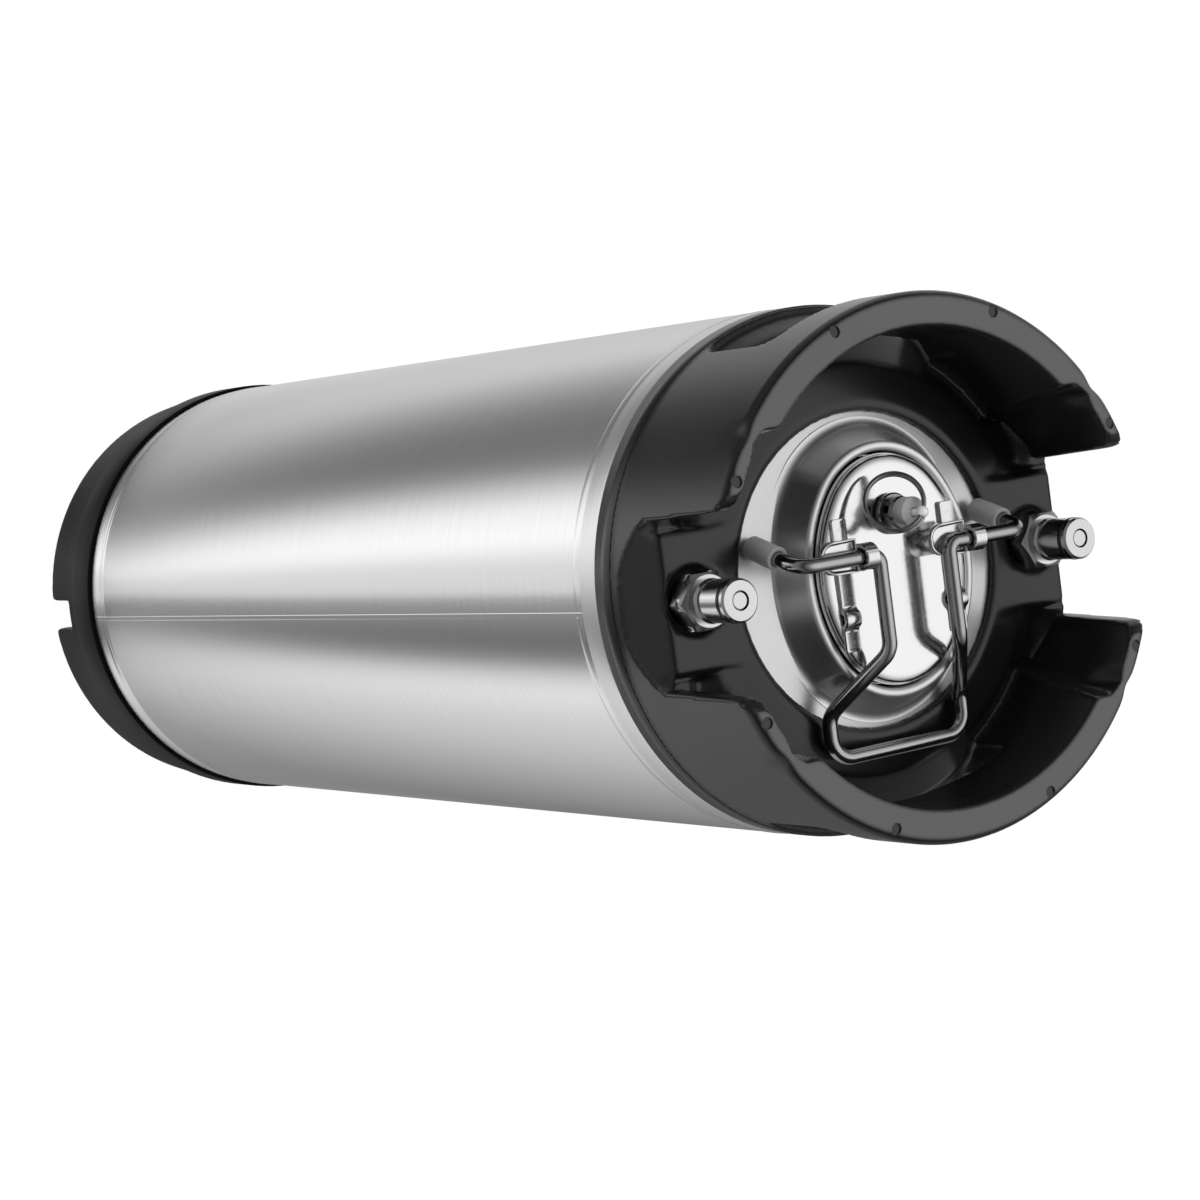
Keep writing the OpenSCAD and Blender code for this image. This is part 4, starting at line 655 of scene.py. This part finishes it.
for node, middle in (("left_bail_bracket", -BRACKET_X), ("right_bail_bracket", BRACKET_X)):
    parts = []
    for side_view, end_y in ((front, STRIP_Y), (back, TAB_Y)):
        bm = plate([(-STRIP_HALF_W, y, z) for y, z in side_view], (2 * STRIP_HALF_W, 0, 0))
        round_off(bm, [e for e in bm.edges if all(abs(v.co.y / MM - end_y) < 0.01 for v in e.verts)
                       and abs(e.verts[0].co.x - e.verts[1].co.x) < 0.01 * MM], STRIP_END_R, 4)
        round_off(bm, sharp(bm, 50), STRIP_EDGE_R, 2)
        # In front of the hinge, the face between two welds is pressed in a little
        flats = [f for f in bm.faces if f.normal.z > 0.99 and f.calc_area() > 25 * MM * MM
                 and f.calc_center_median().y < 0]
        bmesh.ops.inset_individual(bm, faces=flats, thickness=PANEL_EDGE * MM, depth=0)
        bmesh.ops.inset_individual(bm, faces=flats, thickness=PANEL_SLOPE * MM, depth=-PANEL_DEPTH * MM)
        parts.append(bm)
    # Pan: a dish with a rolled lip and a round end, lower where the wire enters
    bm = plate([(PAN_FAR_X, pan_y - PAN_HALF_W, PAN_Z), (PAN_NEAR_X, pan_y - PAN_HALF_W, PAN_Z),
                (PAN_NEAR_X, pan_y + PAN_HALF_W, PAN_Z), (PAN_FAR_X, pan_y + PAN_HALF_W, PAN_Z)],
               (0, 0, PAN_H))
    round_off(bm, [e for e in bm.edges if all(v.co.x < (PAN_FAR_X + 0.6) * MM for v in e.verts)
                   and abs(e.verts[0].co.z - e.verts[1].co.z) > 1 * MM], PAN_END_R, 10)
    dish = [f for f in bm.faces if f.normal.z > 0.99]
    bmesh.ops.inset_region(bm, faces=dish, thickness=PAN_LIP * MM)
    bmesh.ops.inset_region(bm, faces=dish, thickness=PAN_SLOPE * MM, depth=0)
    bmesh.ops.translate(bm, verts=[v for f in dish for v in f.verts], vec=(0, 0, -PAN_DEPTH * MM))
    round_off(bm, sharp(bm, 25), PAN_EDGE_R, 3)
    for v in bm.verts:
        entry = step(-v.co.x / MM, 9, -PAN_FAR_X)
        v.co.z -= PAN_FALL * MM * entry * step(v.co.z / MM, PAN_Z + 0.1, PAN_Z + PAN_H)
    parts.append(bm)
    # Band: closed round the wire, with a few ripples over its top from the bending
    rim = [(BAND_EDGE, BEARING_R), (BAND_L - BAND_EDGE, BEARING_R), (BAND_L, BEARING_R + BAND_EDGE),
           (BAND_L, BAND_R - BAND_EDGE), (BAND_L - BAND_EDGE, BAND_R), (BAND_EDGE, BAND_R),
           (0, BAND_R - BAND_EDGE), (0, BEARING_R + BAND_EDGE)]
    bm = spun([(BAND_X + x, HINGE_Y, HINGE_Z + r) for x, r in rim], (0, HINGE_Y, HINGE_Z), (1, 0, 0), 96)
    for v in bm.verts:
        y, z = v.co.y / MM - HINGE_Y, v.co.z / MM - HINGE_Z
        r, up = math.hypot(y, z), math.degrees(math.atan2(z, y))
        if r > BAND_R - 0.1 and 0 < up < 4 * RIPPLE_TURN:
            wave = math.sin(2 * math.pi * up / RIPPLE_TURN)
            grow = 1 + RIPPLE * wave * step(up, 0, 15) * (1 - step(up, 60, 75))
            v.co.y, v.co.z = (HINGE_Y + y * grow) * MM, (HINGE_Z + z * grow) * MM
    bmesh.ops.recalc_face_normals(bm, faces=bm.faces)
    parts.append(bm)
    # Spot welds: each a low button with a dimple, pressed by the welding tip
    for y in WELD_YS:
        bm = bmesh.new()
        bmesh.ops.create_cone(bm, cap_ends=True, segments=24, radius1=WELD_R * MM,
                              radius2=WELD_TOP_R * MM, depth=WELD_T * MM,
                              matrix=Matrix.Translation((0, y * MM, (top_z - WELD_SUNK) * MM)))
        top = [f for f in bm.faces if f.normal.z > 0.99]
        bmesh.ops.inset_region(bm, faces=top, thickness=WELD_RIM * MM)
        bmesh.ops.inset_region(bm, faces=top, thickness=WELD_PIT_EDGE * MM, depth=-WELD_PIT * MM)
        parts.append(bm)
    bm = gather(parts)
    bmesh.ops.translate(bm, verts=bm.verts, vec=(middle * MM, 0, 0))
    bracket = piece(node.replace("_bail_bracket", "_bracket_strip"), bm, "lid", node)
    bracket.data.shade_smooth()
    bracket.data.set_sharp_from_angle(angle=math.radians(40))
    brackets.append(bracket)
# Pressed stainless strip: bright from the rolling mill, its shine a little uneven
material = grain_steel("pressed_stainless_strip", "#d9d9d9", 0.12, 0.20, 0.8)
for bracket in brackets:
    dress(bracket, material)


# Bail: one length of stainless wire, bent cold. Its two arms turn in the brackets and its
# loop is pulled over to lift the lid against the neck. Its ends carry the rubber feet,
# which press on the neck's shoulder.

# Drawn stainless wire: bright and a little dark, its shine faintly uneven from the die
wear("lid_bail", grain_steel("drawn_stainless_wire", "#a7a7a7", 0.13, 0.20, 2.0))

# Grey vinyl: the feet are dipped sleeves, soft and satin, with a slightly mottled skin
FOOT_EDGE_R, FOOT_GRAIN = 0.45, 1 / 1.1
material, tree, out = new_material("grey_vinyl")
where = add(tree, "TexCoord")
grain = add(tree, "TexNoise", inputs={
    "Vector": where.outputs["Object"], "Scale": 1 / (FOOT_GRAIN * MM), "Detail": 2.0})
shade = add(tree, "ValToRGB", inputs={"Fac": grain.outputs["Fac"]})
stops(shade, [(0.3, "#909090"), (0.7, "#9a9a9a")])
rough = add(tree, "MapRange", inputs={"Value": grain.outputs["Fac"], "To Min": 0.45, "To Max": 0.60})
bump = add(tree, "Bump", inputs={
    "Height": grain.outputs["Fac"], "Strength": 0.2, "Distance": 0.05 * MM})
vinyl = add(tree, "BsdfPrincipled", inputs={
    "Base Color": shade.outputs[0], "Roughness": rough.outputs[0], "IOR": 1.5,
    "Normal": bump.outputs[0]})
tree.links.new(vinyl.outputs[0], out.inputs["Surface"])
for node in ("left_bail_foot", "right_bail_foot"):
    bm = node_copy(node)
    bmesh.ops.dissolve_limit(bm, angle_limit=math.radians(1), verts=bm.verts, edges=bm.edges)
    round_off(bm, sharp(bm, 60), FOOT_EDGE_R, 3)
    foot = piece(node.replace("bail_foot", "rubber_foot"), bm, "bail", node)
    foot.data.set_sharp_from_angle(angle=math.radians(50))
    dress(foot, material)


# Relief valve: a turned brass body, nickel plated and screwed through the lid into its nut,
# with a grey plastic cap on its neck. A spring holds its stem down, and the ball of the
# stem carries the split ring that is pulled to let the pressure out.
PRV_Y, CAP_Z, CAP_TOP_Z, CAP_R, CAP_EDGE, CAP_CORNER = 22.0, 613.7, 619.9, 6.2, 0.3, 0.7
CAP_SEAT_R, CAP_HOLE_R, CAP_THROAT_R, CAP_THROAT_H, CAP_ROOF_T = 4.75, 2.1, 1.5, 2.0, 2.2
cap_outline = [
    (CAP_SEAT_R, CAP_Z), (CAP_R - CAP_EDGE, CAP_Z), (CAP_R, CAP_Z + CAP_EDGE),
    (CAP_R, CAP_TOP_Z - CAP_CORNER), (CAP_R - 0.2, CAP_TOP_Z - 0.2), (CAP_R - CAP_CORNER, CAP_TOP_Z),
    (CAP_HOLE_R, CAP_TOP_Z), (CAP_HOLE_R - CAP_EDGE, CAP_TOP_Z - CAP_EDGE),
    (CAP_THROAT_R, CAP_TOP_Z - CAP_THROAT_H), (CAP_SEAT_R, CAP_TOP_Z - CAP_ROOF_T)]
bm = spun([(r, PRV_Y, z) for r, z in cap_outline], (0, PRV_Y, 0), (0, 0, 1), 72)
bmesh.ops.recalc_face_normals(bm, faces=bm.faces)
cap = piece("relief_cap", bm, "lid", "prv_cap")
cap.data.set_sharp_from_angle(angle=math.radians(40))
# Moulded grey ABS: satin, with a faint mottle from its mould
CAP_GRAIN = 1 / 1.6
material, tree, out = new_material("moulded_grey_abs")
where = add(tree, "TexCoord")
grain = add(tree, "TexNoise", inputs={
    "Vector": where.outputs["Object"], "Scale": 1 / (CAP_GRAIN * MM), "Detail": 2.0})
shade = add(tree, "ValToRGB", inputs={"Fac": grain.outputs["Fac"]})
stops(shade, [(0.3, "#999999"), (0.7, "#a0a0a0")])
rough = add(tree, "MapRange", inputs={"Value": grain.outputs["Fac"], "To Min": 0.35, "To Max": 0.45})
plastic = add(tree, "BsdfPrincipled", inputs={
    "Base Color": shade.outputs[0], "Roughness": rough.outputs[0], "IOR": 1.53})
tree.links.new(plastic.outputs[0], out.inputs["Surface"])
dress(cap, material)

# Split ring: two turns of spring wire that lie against each other, hung from the stem's ball.
# Its wire climbs by a little over its own thickness in each turn.
EYE_Z, RING_R, RING_WIRE_R, RING_STEPS = 625.0, 11.5, 0.86, 96
RING_CLIMB = 2.1 * RING_WIRE_R
RING_AZ, RING_LEAN = math.radians(147), math.radians(37)
toward = Vector((math.cos(RING_AZ) * math.cos(RING_LEAN), math.sin(RING_AZ) * math.cos(RING_LEAN),
                 -math.sin(RING_LEAN)))
across = Vector((-math.sin(RING_AZ), math.cos(RING_AZ), 0))
ring_axis = toward.cross(across)
middle = Vector((0, PRV_Y, EYE_Z)) + RING_R * toward
bm = bmesh.new()
wire_turn = Matrix((across, ring_axis, toward)).transposed().to_4x4()
bmesh.ops.create_circle(bm, cap_ends=True, radius=RING_WIRE_R * MM, segments=14, matrix=wire_turn)
bmesh.ops.translate(bm, verts=bm.verts, vec=(middle + RING_R * across - RING_CLIMB * ring_axis) * MM)
bmesh.ops.spin(bm, geom=bm.verts[:] + bm.edges[:] + bm.faces[:], cent=middle * MM, axis=ring_axis,
               dvec=ring_axis * (RING_CLIMB * MM / RING_STEPS), angle=4 * math.pi, steps=2 * RING_STEPS)
bmesh.ops.recalc_face_normals(bm, faces=bm.faces)
ring = piece("pull_ring_wire", bm, "pull_ring", "prv_ring")
ring.data.set_sharp_from_angle(angle=math.radians(60))
# Tempered spring wire: bright and dark, as drawn, with a faint unevenness
dress(ring, grain_steel("tempered_spring_wire", "#8f8f8f", 0.14, 0.22, 1.0))

# Nickel plated brass: close to a mirror but darker than steel, and faintly uneven
material = grain_steel("nickel_plated_brass", "#8c8c8c", 0.10, 0.18, 0.7)
wear("prv_body", material)
wear("prv_nut", material)


def spring_piece(name, body, node, material):
    """Copies a CAD spring into a smooth piece with a mesh of its own."""
    bm = node_copy(node)
    spring = piece(name, bm, body, node)
    dress(spring, material)
    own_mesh(spring)


# The spring stands between the head of the stem and the top of its chamber
spring_piece("relief_spring", "lid", "prv_spring", material)
# Stem steel, painted almost white and made only partly metallic and matt: a painted highlight
# that keeps the ball of the stem white.
wear("prv_stem", grain_steel("stem_steel_painted_highlight", "#f6f6f6", 0.45, 0.55, 0.6, 0.4))


# Posts: the two valves that the gas and liquid lines plug on to, turned from stainless bar
# with a hexagon at the foot, each screwed on a stub that is welded into the top dome.

# Turned stainless steel: bright, with lathe marks that run round each post. They are about
# 0.2 mm apart, drawn at 0.5 mm.
POST_X, LATHE_MARK = 85.5, 0.5
material, tree, out = new_material("turned_stainless_steel")
where = add(tree, "TexCoord")
axes = add(tree, "SeparateXYZ", inputs={0: where.outputs["Object"]})
aside = add(tree, "Math", {"operation": "ABSOLUTE"}, {0: axes.outputs["X"]})
aside = add(tree, "Math", {"operation": "SUBTRACT"}, {0: aside.outputs[0], 1: POST_X * MM})
turned = round_axis(tree, (aside.outputs[0], axes.outputs["Y"]), axes.outputs["Z"])
grain = add(tree, "TexNoise", {"noise_dimensions": "2D"}, {
    "Vector": turned, "Scale": 1 / (LATHE_MARK * MM), "Detail": 2.0})
rough = add(tree, "MapRange", inputs={
    "Value": grain.outputs["Fac"], "From Min": 0.3, "From Max": 0.7, "To Min": 0.13, "To Max": 0.24})
bump = add(tree, "Bump", inputs={
    "Height": grain.outputs["Fac"], "Strength": 0.3, "Distance": 0.02 * MM})
steel = add(tree, "BsdfPrincipled", inputs={
    "Base Color": srgb("#cccccc"), "Metallic": 1.0, "Roughness": rough.outputs[0],
    "Normal": bump.outputs[0]})
tree.links.new(steel.outputs[0], out.inputs["Surface"])
for side in ("gas_", "liquid_"):
    for name in ("stub", "post", "poppet"):
        wear(side + name, material)


# Inside: the springs under the poppets and the two dip tubes that hang in the posts' stubs,
# all of stainless steel, and the black rubber rings that seal the lid, the relief valve, the
# posts and the tubes. Each spring stands on its tube's flange under its poppet.
# Drawn stainless tube and wire: bright, a little dulled by the die
material = grain_steel("drawn_stainless_tube", "#c5c5c5", 0.16, 0.24, 1.5)
for side, x in (("gas_", -POST_X), ("liquid_", POST_X)):
    wear(side + "dip_tube", material)
    spring_piece(side + "spring_coil", "keg", side + "poppet_spring", material)

# Seal rubber: black and wet with food grade grease, so it shines more than the collar does
SEAL_GRAIN = 1 / 0.9
material, tree, out = new_material("oiled_black_seal_rubber")
where = add(tree, "TexCoord")
grain = add(tree, "TexNoise", inputs={
    "Vector": where.outputs["Object"], "Scale": 1 / (SEAL_GRAIN * MM), "Detail": 2.0})
shade = add(tree, "ValToRGB", inputs={"Fac": grain.outputs["Fac"]})
stops(shade, [(0.3, "#0e0e0e"), (0.7, "#161616")])
rough = add(tree, "MapRange", inputs={"Value": grain.outputs["Fac"], "To Min": 0.18, "To Max": 0.30})
rubber = add(tree, "BsdfPrincipled", inputs={
    "Base Color": shade.outputs[0], "Roughness": rough.outputs[0], "IOR": 1.52})
tree.links.new(rubber.outputs[0], out.inputs["Surface"])
for name in ("lid_seal", "prv_gasket", "prv_poppet_seal", "gas_post_ring", "liquid_post_ring",
             "gas_poppet_seal", "liquid_poppet_seal", "gas_tube_ring", "liquid_tube_ring"):
    wear(name, material)
